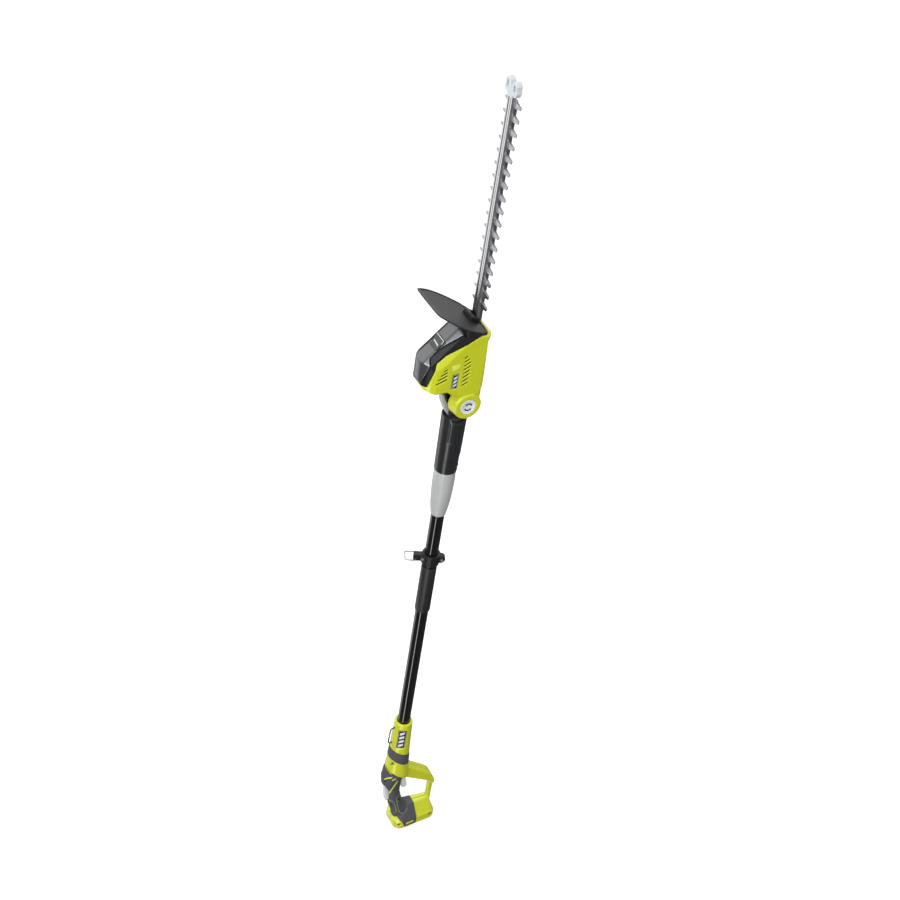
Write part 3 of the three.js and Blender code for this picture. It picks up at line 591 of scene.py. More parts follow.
def screws(name, tree, centres, turn, sizes):
    mesh = bpy.data.meshes.new(name)
    mesh.from_pydata([Vector(c) * mm for c in centres], [], [])
    obj = newObject(name, mesh)
    values = {key: value * mm for key, value in sizes.items()}
    values["Turn"] = turn
    runTree(obj, tree, values)
    return byAngle(obj, 30)


caseScrews = screwTree("caseScrews", "steel")
brightScrews = screwTree("brightScrews", "bright")
facingRight = (math.radians(90), 0, 0)
facingLeft = (math.radians(-90), 0, 0)
facingFront = (0, math.radians(90), 0)


def centresOf(nodes, lead, axis):
    centres = []
    for node in nodes:
        low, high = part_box(node)
        centre = (low + high) / 2
        centre[axis] = (low[axis] + lead * mm) if lead > 0 else (high[axis] + lead * mm)
        centres.append(centre / mm)
    return centres


handleScrewNodes = ["handle_screw_ring", "handle_screw_heel", "handle_screw_toe", "handle_screw_grip"]
screwSizes = {"Head radius": 3.35, "Head height": 2.4, "Shank radius": 1.5, "Shank length": 8.8}
handleScrews = screws(
    "handleScrews", caseScrews, centresOf(handleScrewNodes, 1.2, 1), facingRight, screwSizes
)
settle(handleScrews, "handle", handleScrewNodes)
sleeveScrewNodes = ["sleeve_screw_low", "sleeve_screw_high"]
sleeveScrews = screws(
    "sleeveScrews", caseScrews, centresOf(sleeveScrewNodes, 1.2, 1), facingRight, screwSizes
)
settle(sleeveScrews, "upper", sleeveScrewNodes)
headScrewNodes = ["head_screw_spine", "head_screw_nose"]
headScrews = screws(
    "headScrews", caseScrews, centresOf(headScrewNodes, -1.2, 1), facingLeft, screwSizes
)
settle(headScrews, "head", headScrewNodes)
boltNodes = ["bar_bolt_%d" % i for i in range(1, 7)]
boltSizes = {"Head radius": 5.4, "Head height": 2.6, "Shank radius": 3, "Shank length": 12}
barBolts = screws("barBolts", caseScrews, centresOf(boltNodes, -1.3, 0), facingFront, boltSizes)
settle(barBolts, "head", boltNodes)
print("screws laid out")


# Rear handle: height and radius of its collar.
collarProfile = [(150, 28), (188, 28), (222, 24.8), (262, 22.8), (347.5, 20), (350.5, 18.8)]

for side in ("right", "left"):
    node = "rear_handle_%s_shell" % side
    shell = moulded("handleShell" + side.title(), node, "lime", 1.05, 7)
    settle(shell, "handle", [node])
print("handle shells")

# Strokes on the grip: points in X and Z on the plane "depth" out from the middle, then a half-width.
# "slant" carries them over the curve of the grip.
accents = {
    "depth": 20,
    "slant": (0.66, -1.39),
    "relief": 0.35,
    "accent": [
        ([(-37, 188), (-29, 188), (-20, 185)], 2.1),
        ([(-16, 175), (-9, 176)], 1.9),
        ([(-19, 133), (-3, 165)], 2.1),
    ],
    "contour": [
        ([(10, 118), (3, 104), (3, 96), (9, 74), (14, 54), (22, 42), (30, 40), (35, 55)], 0.75),
        ([(-13, 101), (-6, 96), (0, 82), (6, 61), (7, 55), (1, 48)], 0.75),
    ],
    # Small holes that get painted shade: a near-black spot over a shallow dip.
    "holeShade": [
        ([(-37, 181), (-34, 180)], 2.0),
        ([(11, 95), (11, 93)], 1.6),
        ([(-10, 87), (-9, 86)], 2.2),
    ],
}


def strokeDistance(x, z, points):
    best = 1e9
    for (x0, z0), (x1, z1) in zip(points, points[1:]):
        dx, dz = x1 - x0, z1 - z0
        t = max(0, min(1, ((x - x0) * dx + (z - z0) * dz) / (dx * dx + dz * dz)))
        best = min(best, math.hypot(x - x0 - dx * t, z - z0 - dz * t))
    return best


def paintStrokes(obj, attribute, lift):
    layer = obj.data.attributes.new(attribute, "FLOAT", "POINT")
    values = []
    normals = [v.normal.copy() for v in obj.data.vertices]
    slantX, slantZ = accents["slant"]
    strokes = [(smoothPath(points, 3), halfWidth) for points, halfWidth in accents[attribute]]
    for vertex, normal in zip(obj.data.vertices, normals):
        x, y, z = vertex.co / mm
        depth = accents["depth"] - abs(y)
        x -= slantX * depth
        z -= slantZ * depth
        value = 0.0
        if normal.y * y > 0 or normal.x < -0.5:
            for points, halfWidth in strokes:
                inside = halfWidth + 0.5 - strokeDistance(x, z, points)
                value = max(value, min(1.0, max(0.0, inside)))
        values.append(value)
        if value:
            vertex.co += normal * (value * lift * mm)
    layer.data.foreach_set("value", values)


def paintGrip(obj):
    paintStrokes(obj, "contour", -accents["relief"])
    # The holes sink a little and get near-black painted shade.
    paintStrokes(obj, "holeShade", -accents["relief"] * 2)
    paintStrokes(obj, "accent", accents["relief"] * 0.5)
    return obj


for side in ("right", "left"):
    node = "grip_skin_" + side
    skin = paintGrip(moulded("gripSkin" + side.title(), node, "grip", 0.75, 9))
    settle(skin, "handle", [node])
print("grip skins")

foot = {"back": 6, "front": 109, "half": 30, "toeHalf": 25.5, "slab": 20, "ridge": 55}


# The foot's own outer form, moved out by a distance.
def footHull(name, out, material):
    plan = []
    corners = [
        (foot["back"] + 15, 15, 90, 180, foot["half"]),
        (foot["front"] - 12, 12, 0, 90, foot["toeHalf"]),
    ]
    for centreX, radius, start, end, half in corners:
        for i in range(7):
            angle = math.radians(start + (end - start) * i / 6)
            x = centreX + (radius + out) * math.cos(angle)
            y = half - radius + (radius + out) * math.sin(angle)
            plan += [(x, y), (x, -y)]
    low = [(x, y, -1) for x, y in plan] + [(x, y, foot["slab"] + out * 0.3) for x, y in plan]
    ridge = [(38 - out, 12 + out * 0.6), (96 + out, 8 + out * 0.6)]
    high = [(x, s * y, foot["ridge"] + out) for x, y in ridge for s in (1, -1)]
    work = bmesh.new()
    for point in low + high:
        work.verts.new(Vector(point) * mm)
    bmesh.ops.convex_hull(work, input=work.verts)
    mesh = bpy.data.meshes.new(name)
    work.to_mesh(mesh)
    work.free()
    return newObject(name, mesh, material)


# Rubber that runs down from the grip over the hump of the foot.
skirt = {
    "outline": [
        (29, 1.5), (60, 1.5), (59.5, 23), (57.5, 42), (56, 62), (30, 62), (2, 48), (2.5, 42),
        (14, 29), (22, 20), (27, 11),
    ],
    "out": 1.1,
    "inner": -1.2,
    "voxel": 0.75,
    "rounds": 5,
}
footCover = footHull("footCover", skirt["out"], "grip")
cut(footCover, footHull("footInner", skirt["inner"], "grip"))
cut(footCover, extruded("skirtCut", skirt["outline"], -40, 40, "grip"), "INTERSECT")
softened(footCover, skirt["voxel"], skirt["rounds"])
footCover.data.materials.clear()
footCover.data.materials.append(finishes["grip"])
paintGrip(footCover)
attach(footCover, "handle")

footTag = {"width": 20, "height": 6.6, "thickness": 1.5, "centre": (42, 29.9, 12.4), "turn": 3.4}
for side in (-1, 1):
    tagName = "footTag" + ("Right" if side < 0 else "Left")
    w, h, thick = footTag["width"] / 2, footTag["height"] / 2, footTag["thickness"] / 2
    tagOutline = [(-w, -h), (w, -h + 0.5), (w - 0.4, h), (-w + 0.6, h - 0.5)]
    tag = extruded(tagName, tagOutline, -thick, thick, "lime")
    bevelled(tag, 0.6, 3)
    place(tag, (-side * footTag["turn"], "Z"))
    x, y, z = footTag["centre"]
    place(tag, None, (x, side * (y - thick * 0.2), z))
    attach(tag, "handle")

band = {"low": (226.45, -0.5), "high": (256.05, -0.45), "inner": 20.95, "proud": 0.85, "ridges": 5}


def slantedBand(name, spec, material, segments=120, rows=60):
    vertices = []
    for i in range(segments):
        angle = fullTurn * i / segments
        c, s = math.cos(angle), math.sin(angle)
        rings = []
        for k in range(rows + 1):
            share = k / rows
            radius = 24
            for _ in range(3):
                low = spec["low"][0] + spec["low"][1] * radius * c
                high = spec["high"][0] + spec["high"][1] * radius * c
                height = low + (high - low) * share
                radius = radiusAt(collarProfile, height) + spec["proud"]
            edge = min(share, 1 - share) * 8
            radius -= 0.7 * max(0, 1 - edge) ** 2
            ripple = math.sin(math.pi * (share * (spec["ridges"] * 2) - 0.5))
            radius -= 0.36 * (1 - ripple) * min(1, edge)
            rings.append((radius * c, radius * s, height))
        for share in (1, 0):
            low = spec["low"][0] + spec["low"][1] * spec["inner"] * c
            high = spec["high"][0] + spec["high"][1] * spec["inner"] * c
            height = low + (high - low) * share
            rings.append((spec["inner"] * c, spec["inner"] * s, height))
        vertices += rings
    faces = ringFaces(segments, len(vertices) // segments)
    return byAngle(fromFaces(name, vertices, faces, material), 50)


settle(slantedBand("collarBand", band, "grip"), "handle", ["collar_band"])

# Badges carry plain slanted bars in place of any lettering.
badge = {"frame": 1.1, "rim": 0.5, "barSize": 0.34, "barReach": 0.62}


# Built flat: width along X, height along Y, face towards +Z, centred.
def flatBadge(name, width, height, bars, plateMaterial="black", barMaterial="silver"):
    low, high = (-width / 2, -height / 2, -1), (width / 2, height / 2, 0)
    pieces = [bevelled(block(name + "Plate", low, high, plateMaterial), 0.35, 2)]
    rim = badge["rim"]
    inset = badge["frame"]
    w, h = width / 2 - inset, height / 2 - inset
    rims = [
        ((-w, h - rim, -0.3), (w, h, 0.22)), ((-w, -h, -0.3), (w, -h + rim, 0.22)),
        ((-w, -h, -0.3), (-w + rim, h, 0.22)), ((w - rim, -h, -0.3), (w, h, 0.22)),
    ]
    for i, (low, high) in enumerate(rims):
        pieces.append(block(name + "Rim%d" % i, low, high, barMaterial))
    span = 2 * h - 5
    for i in range(bars):
        centre = -span / 2 + span * (i + 0.5) / bars
        size = span / bars * badge["barSize"]
        reach = w * badge["barReach"]
        outline = [
            (-reach, centre - size * 1.5), (reach, centre - size * 0.2),
            (reach, centre + size * 1.5), (-reach, centre + size * 0.2),
        ]
        bar = extruded(name + "Bar%d" % i, outline, -0.25, 0.3, barMaterial)
        place(bar, (90, "X"))
        place(bar, (180, "Y"))
        pieces.append(bar)
    return joinedPiece(name, pieces)


def standing(obj):
    return place(obj, (90, "X"))


collarBadge = standing(flatBadge("collarBadge", 18.6, 56.6, 4))
place(collarBadge, None, (0, -19.55, 306))
place(collarBadge, (-27, "Z"))
settle(collarBadge, "handle", ["collar_badge_plate"])

loop = {
    "points": [
        (-19.7, 0, 331), (-24, 0, 331), (-27.6, 0, 329.2), (-29.2, 0, 324), (-29.9, 0, 314),
        (-30.3, 0, 304), (-30.8, 0, 293), (-30.2, 0, 287.6), (-27.5, 0, 284.6), (-22.5, 0, 284),
    ],
    "radius": 1.5,
}
hangLoop = tube("hangLoop", smoothPath(loop["points"], 6), loop["radius"], "black")
settle(hangLoop, "handle", ["hang_loop"])

fingerPieces = (("triggerLever", "trigger", "trigger"), ("lockOff", "lock_off_button", "lock_off"))
for name, node, body in fingerPieces:
    settle(moulded(name, node, "pale", 0.42, 7), body, [node])
print("handle trim")


# Pole.
pole = {"outer": 13.5, "inner": 12, "low": (262, 1001), "high": (1002, 1160)}


def tubeLoop(outer, inner, start, end, edge=0.6):
    return [
        (inner, start), (outer - edge, start), (outer, start + edge),
        (outer, end - edge), (outer - edge, end), (inner, end),
    ]


lowerTube = turned("lowerTube", tubeLoop(pole["outer"], pole["inner"], *pole["low"]), "pole")
settle(lowerTube, "handle", ["lower_tube"])
upperTube = turned("upperTube", tubeLoop(pole["outer"], pole["inner"], *pole["high"]), "pole")
settle(upperTube, "upper", ["upper_tube"])

foam = {"start": 692, "end": 815, "radius": 15.85, "inner": 13.75}
foamLoop = [
    (foam["inner"], foam["start"]), (foam["radius"] - 1.2, foam["start"]),
    (foam["radius"] - 0.4, foam["start"] + 0.5), (foam["radius"], foam["start"] + 1.6),
    (foam["radius"], foam["end"] - 1.6), (foam["radius"] - 0.4, foam["end"] - 0.5),
    (foam["radius"] - 1.2, foam["end"]), (foam["inner"], foam["end"]),
]
settle(turned("foamSleeve", foamLoop, "foam"), "handle", ["front_grip_sleeve"])

for name, node in (("clampFront", "strap_clamp_front"), ("clampRear", "strap_clamp_rear")):
    settle(moulded(name, node, "black", 0.5, 6), "handle", [node])

clamp = {"turn": -25, "height": 836, "left": -16.8, "right": 22, "headY": -7, "ring": (-30.5, -52, 12.6)}
clampCentres = [(clamp[side], clamp["headY"], clamp["height"]) for side in ("left", "right")]
clampSizes = {"Head radius": 3.7, "Head height": 2.4, "Shank radius": 1.9, "Shank length": 13}
clampScrews = screws("clampScrews", brightScrews, clampCentres, facingRight, clampSizes)
place(clampScrews, (clamp["turn"], "Z"))
settle(clampScrews, "handle", ["clamp_screw_left", "clamp_screw_right"])

near, far, reach = clamp["ring"]
corner = 2.5
ringPath = []
for cx, cy, start in (
    (near - corner, reach - corner, 0), (far + corner, reach - corner, 90),
    (far + corner, corner - reach, 180), (near - corner, corner - reach, 270),
):
    for i in range(5):
        angle = math.radians(start + 22.5 * i)
        ringPath.append((cx + corner * math.cos(angle), cy + corner * math.sin(angle), clamp["height"]))
strapRing = tube("strapRing", ringPath, 1.3, "steel", 14, True)
place(strapRing, (clamp["turn"], "Z"))
settle(strapRing, "ring", ["strap_ring"])
print("pole and clamp")


# Coupling collar with flutes.
coupling = {
    "start": 957, "end": 1071, "socket": 1045, "ribSpan": (963, 1064), "ribs": 30,
    "ribHeight": 0.75, "ribWidth": 1.7,
}
couplingOuter = [
    (957, 15.2), (958, 15.7), (959.5, 15.95), (971, 17.4), (985, 18.95), (1001, 20.2), (1015, 20.95),
    (1029, 21.4), (1045, 21.62), (1066, 21.7), (1069.5, 21.6), (1070.6, 21.2), (1071, 20.6),
]
couplingLoop = [(r - coupling["ribHeight"] * 0.5, z) for z, r in couplingOuter]
couplingLoop += [(18.35, coupling["end"]), (18.35, coupling["socket"])]
couplingLoop += [(13.85, coupling["socket"]), (13.85, coupling["start"])]
couplingBody = turned("couplingBody", couplingLoop, "grey", 120)

ribVertices = []
ribFaces = []
ribRows = 24
ribStart, ribEnd = coupling["ribSpan"]
for i in range(ribRows + 1):
    share = i / ribRows
    height = ribStart + (ribEnd - ribStart) * share
    fade = min(1, min(share, 1 - share) * 7)
    top = radiusAt(couplingOuter, height) - coupling["ribHeight"] * (0.5 - 0.5 * fade)
    base = top - 1.2
    half = coupling["ribWidth"] / 2 * (0.5 + 0.5 * fade)
    ribVertices += [
        (base, -half, height), (top - 0.12, -half, height), (top, -half * 0.6, height),
        (top, half * 0.6, height), (top - 0.12, half, height), (base, half, height),
    ]
for i in range(ribRows):
    for k in range(6):
        m = (k + 1) % 6
        ribFaces.append((i * 6 + k, i * 6 + m, i * 6 + 6 + m, i * 6 + 6 + k))
ribFaces.append(tuple(range(5, -1, -1)))
ribFaces.append(tuple(range(ribRows * 6, ribRows * 6 + 6)))
ribTemplate = fromFaces("ribTemplate", ribVertices, ribFaces, "grey")


def aroundTree(name, material, template):
    tree = bpy.data.node_groups.new(name, "GeometryNodeTree")
    tree.interface.new_socket("Geometry", in_out="INPUT", socket_type="NodeSocketGeometry")
    addInput(tree, "Count", "NodeSocketInt", 24)
    tree.interface.new_socket("Geometry", in_out="OUTPUT", socket_type="NodeSocketGeometry")
    nodes, links = tree.nodes, tree.links
    source = nodes.new("NodeGroupInput")
    result = nodes.new("NodeGroupOutput")
    line = nodes.new("GeometryNodeMeshLine")
    line.inputs["Offset"].default_value = (0, 0, 0)
    links.new(source.outputs["Count"], line.inputs["Count"])
    shape = nodes.new("GeometryNodeObjectInfo")
    shape.inputs["Object"].default_value = template
    spread = nodes.new("GeometryNodeInstanceOnPoints")
    links.new(line.outputs["Mesh"], spread.inputs["Points"])
    links.new(shape.outputs["Geometry"], spread.inputs["Instance"])
    index = nodes.new("GeometryNodeInputIndex")
    step = nodes.new("ShaderNodeMath")
    step.operation = "DIVIDE"
    step.inputs[0].default_value = fullTurn
    links.new(source.outputs["Count"], step.inputs[1])
    angle = nodes.new("ShaderNodeMath")
    angle.operation = "MULTIPLY"
    links.new(index.outputs[0], angle.inputs[0])
    links.new(step.outputs[0], angle.inputs[1])
    turn = nodes.new("ShaderNodeCombineXYZ")
    links.new(angle.outputs[0], turn.inputs["Z"])
    links.new(turn.outputs[0], spread.inputs["Rotation"])
    real = nodes.new("GeometryNodeRealizeInstances")
    links.new(spread.outputs["Instances"], real.inputs["Geometry"])
    both = nodes.new("GeometryNodeJoinGeometry")
    links.new(real.outputs["Geometry"], both.inputs[0])
    links.new(source.outputs["Geometry"], both.inputs[0])
    paint = nodes.new("GeometryNodeSetMaterial")
    paint.inputs["Material"].default_value = finishes[material]
    links.new(both.outputs["Geometry"], paint.inputs["Geometry"])
    links.new(paint.outputs["Geometry"], result.inputs[0])
    return tree


couplingCollar = runTree(
    couplingBody, aroundTree("flutes", "grey", ribTemplate), {"Count": coupling["ribs"]}
)
couplingCollar.name = "couplingCollar"
bpy.data.objects.remove(ribTemplate)
settle(byAngle(couplingCollar, 45), "collar", ["coupling_collar"])
print("coupling collar")


# Upper sleeve with its raised pad.
sleeve = {
    "start": 1071.4, "end": 1202, "radius": 22.35, "topRadius": 24, "lip": 1207.5,
    "padTop": 1197, "padStep": (1153, 1138), "padBottom": 1113, "padAngles": (131, 67), "padHeight": 0.85,
    "taperEnd": 1196,
    "bore": [(20.5, 1178), (13.85, 1178), (13.85, 1046), (17.95, 1045.6), (17.95, 1071.2)],
}


def padShare(angle, height):
    wide, narrow = sleeve["padAngles"]
    upper, lower = sleeve["padStep"]
    blendShare = max(0, min(1, (height - lower) / (upper - lower)))
    limit = narrow + (wide - narrow) * blendShare
    inside = min(
        (limit - abs(angle)) * 0.4, sleeve["padTop"] - height, height - sleeve["padBottom"]
    )
    return max(0, min(1, inside / 0.9))


def sleevePiece(name, segments=240, rows=130):
    vertices = []
    for i in range(segments):
        angle = fullTurn * i / segments
        degrees = math.degrees(angle)
        degrees = degrees - 360 if degrees > 180 else degrees
        c, s = math.cos(angle), math.sin(angle)
        lipShare = max(0, min(1, (abs(degrees) - 124) / 8))
        top = sleeve["end"] + (sleeve["lip"] - sleeve["end"]) * lipShare
        column = []
        for k in range(rows + 1):
            share = k / rows
            height = sleeve["start"] + (top - sleeve["start"]) * share
            grow = min(1, (height - sleeve["start"]) / (sleeve["taperEnd"] - sleeve["start"]))
            radius = sleeve["radius"] + (sleeve["topRadius"] - sleeve["radius"]) * grow
            radius -= 0.5 * max(0, 1 - (height - sleeve["start"]) / 1.5) ** 2
            radius -= 0.4 * max(0, 1 - (top - height) / 1.5) ** 2
            lift = padShare(degrees, height)
            radius += sleeve["padHeight"] * lift
            if abs(abs(degrees) - 90) < 0.8:
                radius -= 0.3
            column.append((radius, height))
        column += [(20.9, top), (20.5, top - 1)] + sleeve["bore"]
        vertices += [(radius * c, radius * s, height) for radius, height in column]
    faces = ringFaces(segments, len(vertices) // segments)
    return byAngle(fromFaces(name, vertices, faces, "sleeve"), 45)


settle(sleevePiece("upperSleeve"), "upper", ["sleeve_right_shell", "sleeve_left_shell"])
settle(moulded("pivotYoke", "pivot_yoke", "charcoal", 0.7, 4), "upper", ["pivot_yoke"])

leverRibs = {"count": 7, "low": (-24.6, 1222.5), "high": (-33.6, 1243.5), "half": 5.6, "size": 0.9}
leverBody = moulded("leverBody", "release_lever", "grey", 0.45, 6)
ribs = []
for i in range(leverRibs["count"]):
    share = i / (leverRibs["count"] - 1)
    x = leverRibs["low"][0] + (leverRibs["high"][0] - leverRibs["low"][0]) * share
    z = leverRibs["low"][1] + (leverRibs["high"][1] - leverRibs["low"][1]) * share
    half = leverRibs["half"]
    ribs.append(tube("leverRib%d" % i, [(x, -half, z), (x, half, z)], leverRibs["size"], "grey", 12))
releaseLever = joinedPiece("releaseLever", [leverBody] + ribs)
settle(releaseLever, "lever", ["release_lever"])
print("upper sleeve and lever")


# Cutter head.
pivot = (4, 1247)
for side in ("right", "left"):
    node = "head_%s_shell" % side
    shell = moulded("headShell" + side.title(), node, "lime", 0.95, 7)
    settle(shell, "head", [node])
settle(moulded("headBelt", "head_belt", "belt", 0.8, 7), "head", ["head_belt"])
hood = moulded("motorHood", "motor_hood", "hood", 0.9, 40)
settle(hood, "head", ["motor_hood"])

hoodTag = {"top": 11.2, "topSpan": (-12.5, 15.2), "lowSpan": (-15.2, 10.5), "slope": -44.1}


# The badge on the hood: a leaning plate with a pale edge on two sides and a row of plain bars.
def hoodBadgePiece():
    top = hoodTag["top"]
    (t0, t1), (l0, l1) = hoodTag["topSpan"], hoodTag["lowSpan"]

    def flat(name, corners, low, high, material):
        vertices = [(x, y, low) for x, y in corners] + [(x, y, high) for x, y in corners]
        faces = [(0, 1, 2, 3), (7, 6, 5, 4), (0, 1, 5, 4), (1, 2, 6, 5), (2, 3, 7, 6), (3, 0, 4, 7)]
        return byAngle(fromFaces(name, vertices, faces, material), 30)

    pieces = [flat("badgePlate", [(top, t0), (top, t1), (-top, l1), (-top, l0)], -1.6, 0.2, "pole")]
    topEdge = [(top, t0), (top, t1), (top - 1.3, t1 - 0.3), (top - 1.3, t0)]
    endEdge = [(top, t0), (top, t0 + 1.2), (top - 8, t0 + 0.2), (top - 8, t0 - 1)]
    pieces.append(flat("badgeTop", topEdge, 0.1, 0.75, "silver"))
    pieces.append(flat("badgeEnd", endEdge, 0.1, 0.75, "silver"))
    for i in range(4):
        y = l0 + 8 + 4.6 * i
        x = -2.6 + i * 0.5
        corners = [(x - 2, y - 1.8), (x - 1, y + 1.2), (x + 2, y + 1.8), (x + 1, y - 1.2)]
        pieces.append(flat("badgeBar%d" % i, corners, 0.1, 0.5, "silver"))
    return joinedPiece("hoodBadge", pieces)


hoodBadge = hoodBadgePiece()
place(hoodBadge, (hoodTag["slope"], "Y"), (pivot[0] - 66, 0, pivot[1] + 138))
settle(hoodBadge, "head", ["hood_badge_plate"])
headBadge = standing(flatBadge("headBadge", 12.8, 32.8, 3))
place(headBadge, None, (pivot[0] - 36, -34.75, pivot[1] + 66))
settle(headBadge, "head", ["head_badge_plate"])
labelOutline = [(-41.5, 1337.6), (-26.4, 1341.2), (-26.2, 1353), (-42.6, 1350.8)]
labelPlate = bevelled(extruded("labelPlate", labelOutline, -35.2, -34.4, "limePale"), 0.3, 2)
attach(labelPlate, "head")
# Black sheets behind the vents, inside the head: painted shade that makes the vents read dark.
ventShade = {
    "outline": [(-72, 56), (-50, 49), (-6, 47), (-5, 108), (-22, 120), (-50, 104), (-72, 84)],
    "near": 26,
    "far": 27,
}
for side in (-1, 1):
    outline = [(x + pivot[0], z + pivot[1]) for x, z in ventShade["outline"]]
    low, high = sorted((side * ventShade["near"], side * ventShade["far"]))
    shadeSheet = extruded("ventScreen" + ("Right" if side < 0 else "Left"), outline, low, high, "black")
    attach(shadeSheet, "head")
print("head shells and hood")

visor = {
    "edge": [(19.6, 30), (5.8, 45), (-5.8, 52), (-39, 58.9), (-69, 58.6), (-99, 49), (-112, 34)],
    "tilt": 29.94, "z": 178, "thickness": 3.1, "rim": 0.93, "recess": 1.3, "bow": 1.2,
    "barSlot": ((2.6, -10, 1380), (20, 10, 1500)),
}


def visorPiece():
    outline = [(x, y, 0) for x, y in visor["edge"]]
    outline += [(x, -y, 0) for x, y in reversed(visor["edge"])]
    path = smoothPath(outline, 6, True)
    centre = Vector((-48, 0, 0))
    topRings = [
        (1.0, -0.9), (0.996, -0.35), (0.985, 0), (visor["rim"], 0),
        (visor["rim"] - 0.015, -visor["recess"]),
        (0.7, -visor["recess"]), (0.35, -visor["recess"]), (0.02, -visor["recess"]),
    ]
    lowRings = [(0.02, 0), (0.35, 0), (0.7, 0), (0.985, 0), (0.996, 0.35), (1.0, 0.9)]
    lowRings = [(share, height - visor["thickness"]) for share, height in lowRings]
    vertices = []
    for share, height in topRings + lowRings:
        for point in path:
            spot = centre + (point - centre) * share
            across = spot.y / 60
            vertices.append((spot.x, spot.y, height - visor["bow"] * across * across * share))
    count = len(path)
    rings = len(topRings + lowRings)
    faces = []
    for r in range(rings):
        q = (r + 1) % rings
        if r == len(topRings) - 1:
            continue
        for i in range(count):
            j = (i + 1) % count
            faces.append((r * count + i, r * count + j, q * count + j, q * count + i))
    inner = len(topRings) - 1
    faces.append(tuple(inner * count + i for i in range(count)))
    faces.append(tuple((inner + 1) * count + i for i in reversed(range(count))))
    plate = byAngle(fromFaces("visorPlate", vertices, faces, "charcoal", True, False), 40)
    place(plate, (visor["tilt"], "Y"), (pivot[0], 0, pivot[1] + visor["z"]))
    plate = cut(plate, block("visorSlot", *visor["barSlot"], "charcoal"))
    plate = cut(plate, block("visorTrim", (21, -80, 1340), (80, 80, 1500), "charcoal"))
    bossBlock = block("boss", (-14, -15.5, -3), (6, 15.5, 8), "black")
    bevelled(bossBlock, 1.6, 4)
    place(bossBlock, (visor["tilt"], "Y"), (pivot[0], 0, pivot[1] + visor["z"]))
    bossBlock = cut(bossBlock, block("bossSlot", *visor["barSlot"], "black"))
    bossBlock = cut(bossBlock, block("bossTrim", (20.9, -80, 1340), (80, 80, 1500), "black"))
    neckOutline = [(-20.2, 1405.5), (20.8, 1405.5), (20.8, 1413.6), (-20.2, 1436)]
    neck = bevelled(extruded("neck", neckOutline, -33.8, 33.8, "charcoal"), 1.5, 3)
    neck = cut(neck, block("neckSlot", *visor["barSlot"], "charcoal"))
    neck = cut(neck, block("neckRoom", (2.6, -16.4, 1380), (20, 16.4, 1410), "charcoal"))
    return joinedPiece("bladeGuard", [byAngle(plate, 40), byAngle(bossBlock, 40), byAngle(neck, 40)])


settle(visorPiece(), "head", ["blade_guard"])

cap = {"radius": 15.9, "inner": 12.2, "inFace": 34.4, "arrowRadius": 7.2}


# A round cap with a raised rim and two turning arrows.
def pivotCap(name, side):
    loop = [
        (0, 0), (cap["radius"] - 0.5, 0), (cap["radius"], 0.6), (cap["radius"], 2.5),
        (cap["radius"] - 0.6, 3.1), (cap["inner"] + 0.8, 3.1), (cap["inner"], 2.6), (0, 2.6),
    ]
    pieces = [turned(name + "Disc", loop, "silver", 64)]
    for turn in (0, 180):
        arrow = []
        for i in range(13):
            angle = math.radians(turn + 20 + 105 * i / 12)
            arrow.append(Vector((math.cos(angle), math.sin(angle), 0)) * cap["arrowRadius"])
        ribbon = [p * 1.22 for p in arrow] + [p * 0.8 for p in reversed(arrow)]
        tip = math.radians(turn + 150)
        base = math.radians(turn + 124)
        arrowHead = [
            Vector((math.cos(base), math.sin(base), 0)) * cap["arrowRadius"] * 0.62,
            Vector((math.cos(base), math.sin(base), 0)) * cap["arrowRadius"] * 1.4,
            Vector((math.cos(tip), math.sin(tip), 0)) * cap["arrowRadius"],
        ]
        for part, points in (("Arc", ribbon), ("Tip", arrowHead)):
            count = len(points)
            vertices = [(p.x, p.y, 2.3) for p in points] + [(p.x, p.y, 2.8) for p in points]
            faces = [tuple(reversed(range(count))), tuple(range(count, 2 * count))]
            faces += [(i, (i + 1) % count, count + (i + 1) % count, count + i) for i in range(count)]
            pieces.append(byAngle(fromFaces(name + part + str(turn), vertices, faces, "black"), 30))
    obj = joinedPiece(name, pieces)
    place(obj, (90 if side < 0 else -90, "X"), (pivot[0], side * cap["inFace"], pivot[1]))
    return obj


settle(pivotCap("pivotCapRight", -1), "head", ["pivot_cap_right"])
settle(pivotCap("pivotCapLeft", 1), "head", ["pivot_cap_left"])
print("visor and pivot caps")


# Cutter bar and blades.
bar = {"half": 8.8, "x0": 6.6, "x1": 13.3, "start": 1395, "end": 1868}


def barPiece():
    w, x0, x1 = bar["half"], bar["x0"], bar["x1"]
    section = [
        (x0 + 1.4, -w), (x0 + 0.4, -w + 0.4), (x0, -w + 1.4), (x0, -3.4), (x0 + 0.5, -2.8), (x0 + 0.5, 2.8),
        (x0, 3.4), (x0, w - 1.4), (x0 + 0.4, w - 0.4), (x0 + 1.4, w), (x1, w), (x1, w - 2.2),
        (x0 + 2.4, w - 2.2), (x0 + 2.4, 2.2 - w), (x1, 2.2 - w), (x1, -w),
    ]
    vertices = [(x, y, bar["start"]) for x, y in section] + [(x, y, bar["end"]) for x, y in section]
    return byAngle(fromFaces("bladeBar", vertices, prismFaces(len(section)), "bright"), 40)


settle(barPiece(), "head", ["blade_bar"])

blades = {
    "count": 17, "pitch": 25, "first": 1455, "root": 9.2, "foot": (1351, 1387, 15),
    "top": 1864, "bolts": [177, 240, 336, 436, 536, 606], "thickness": 2.3,
}


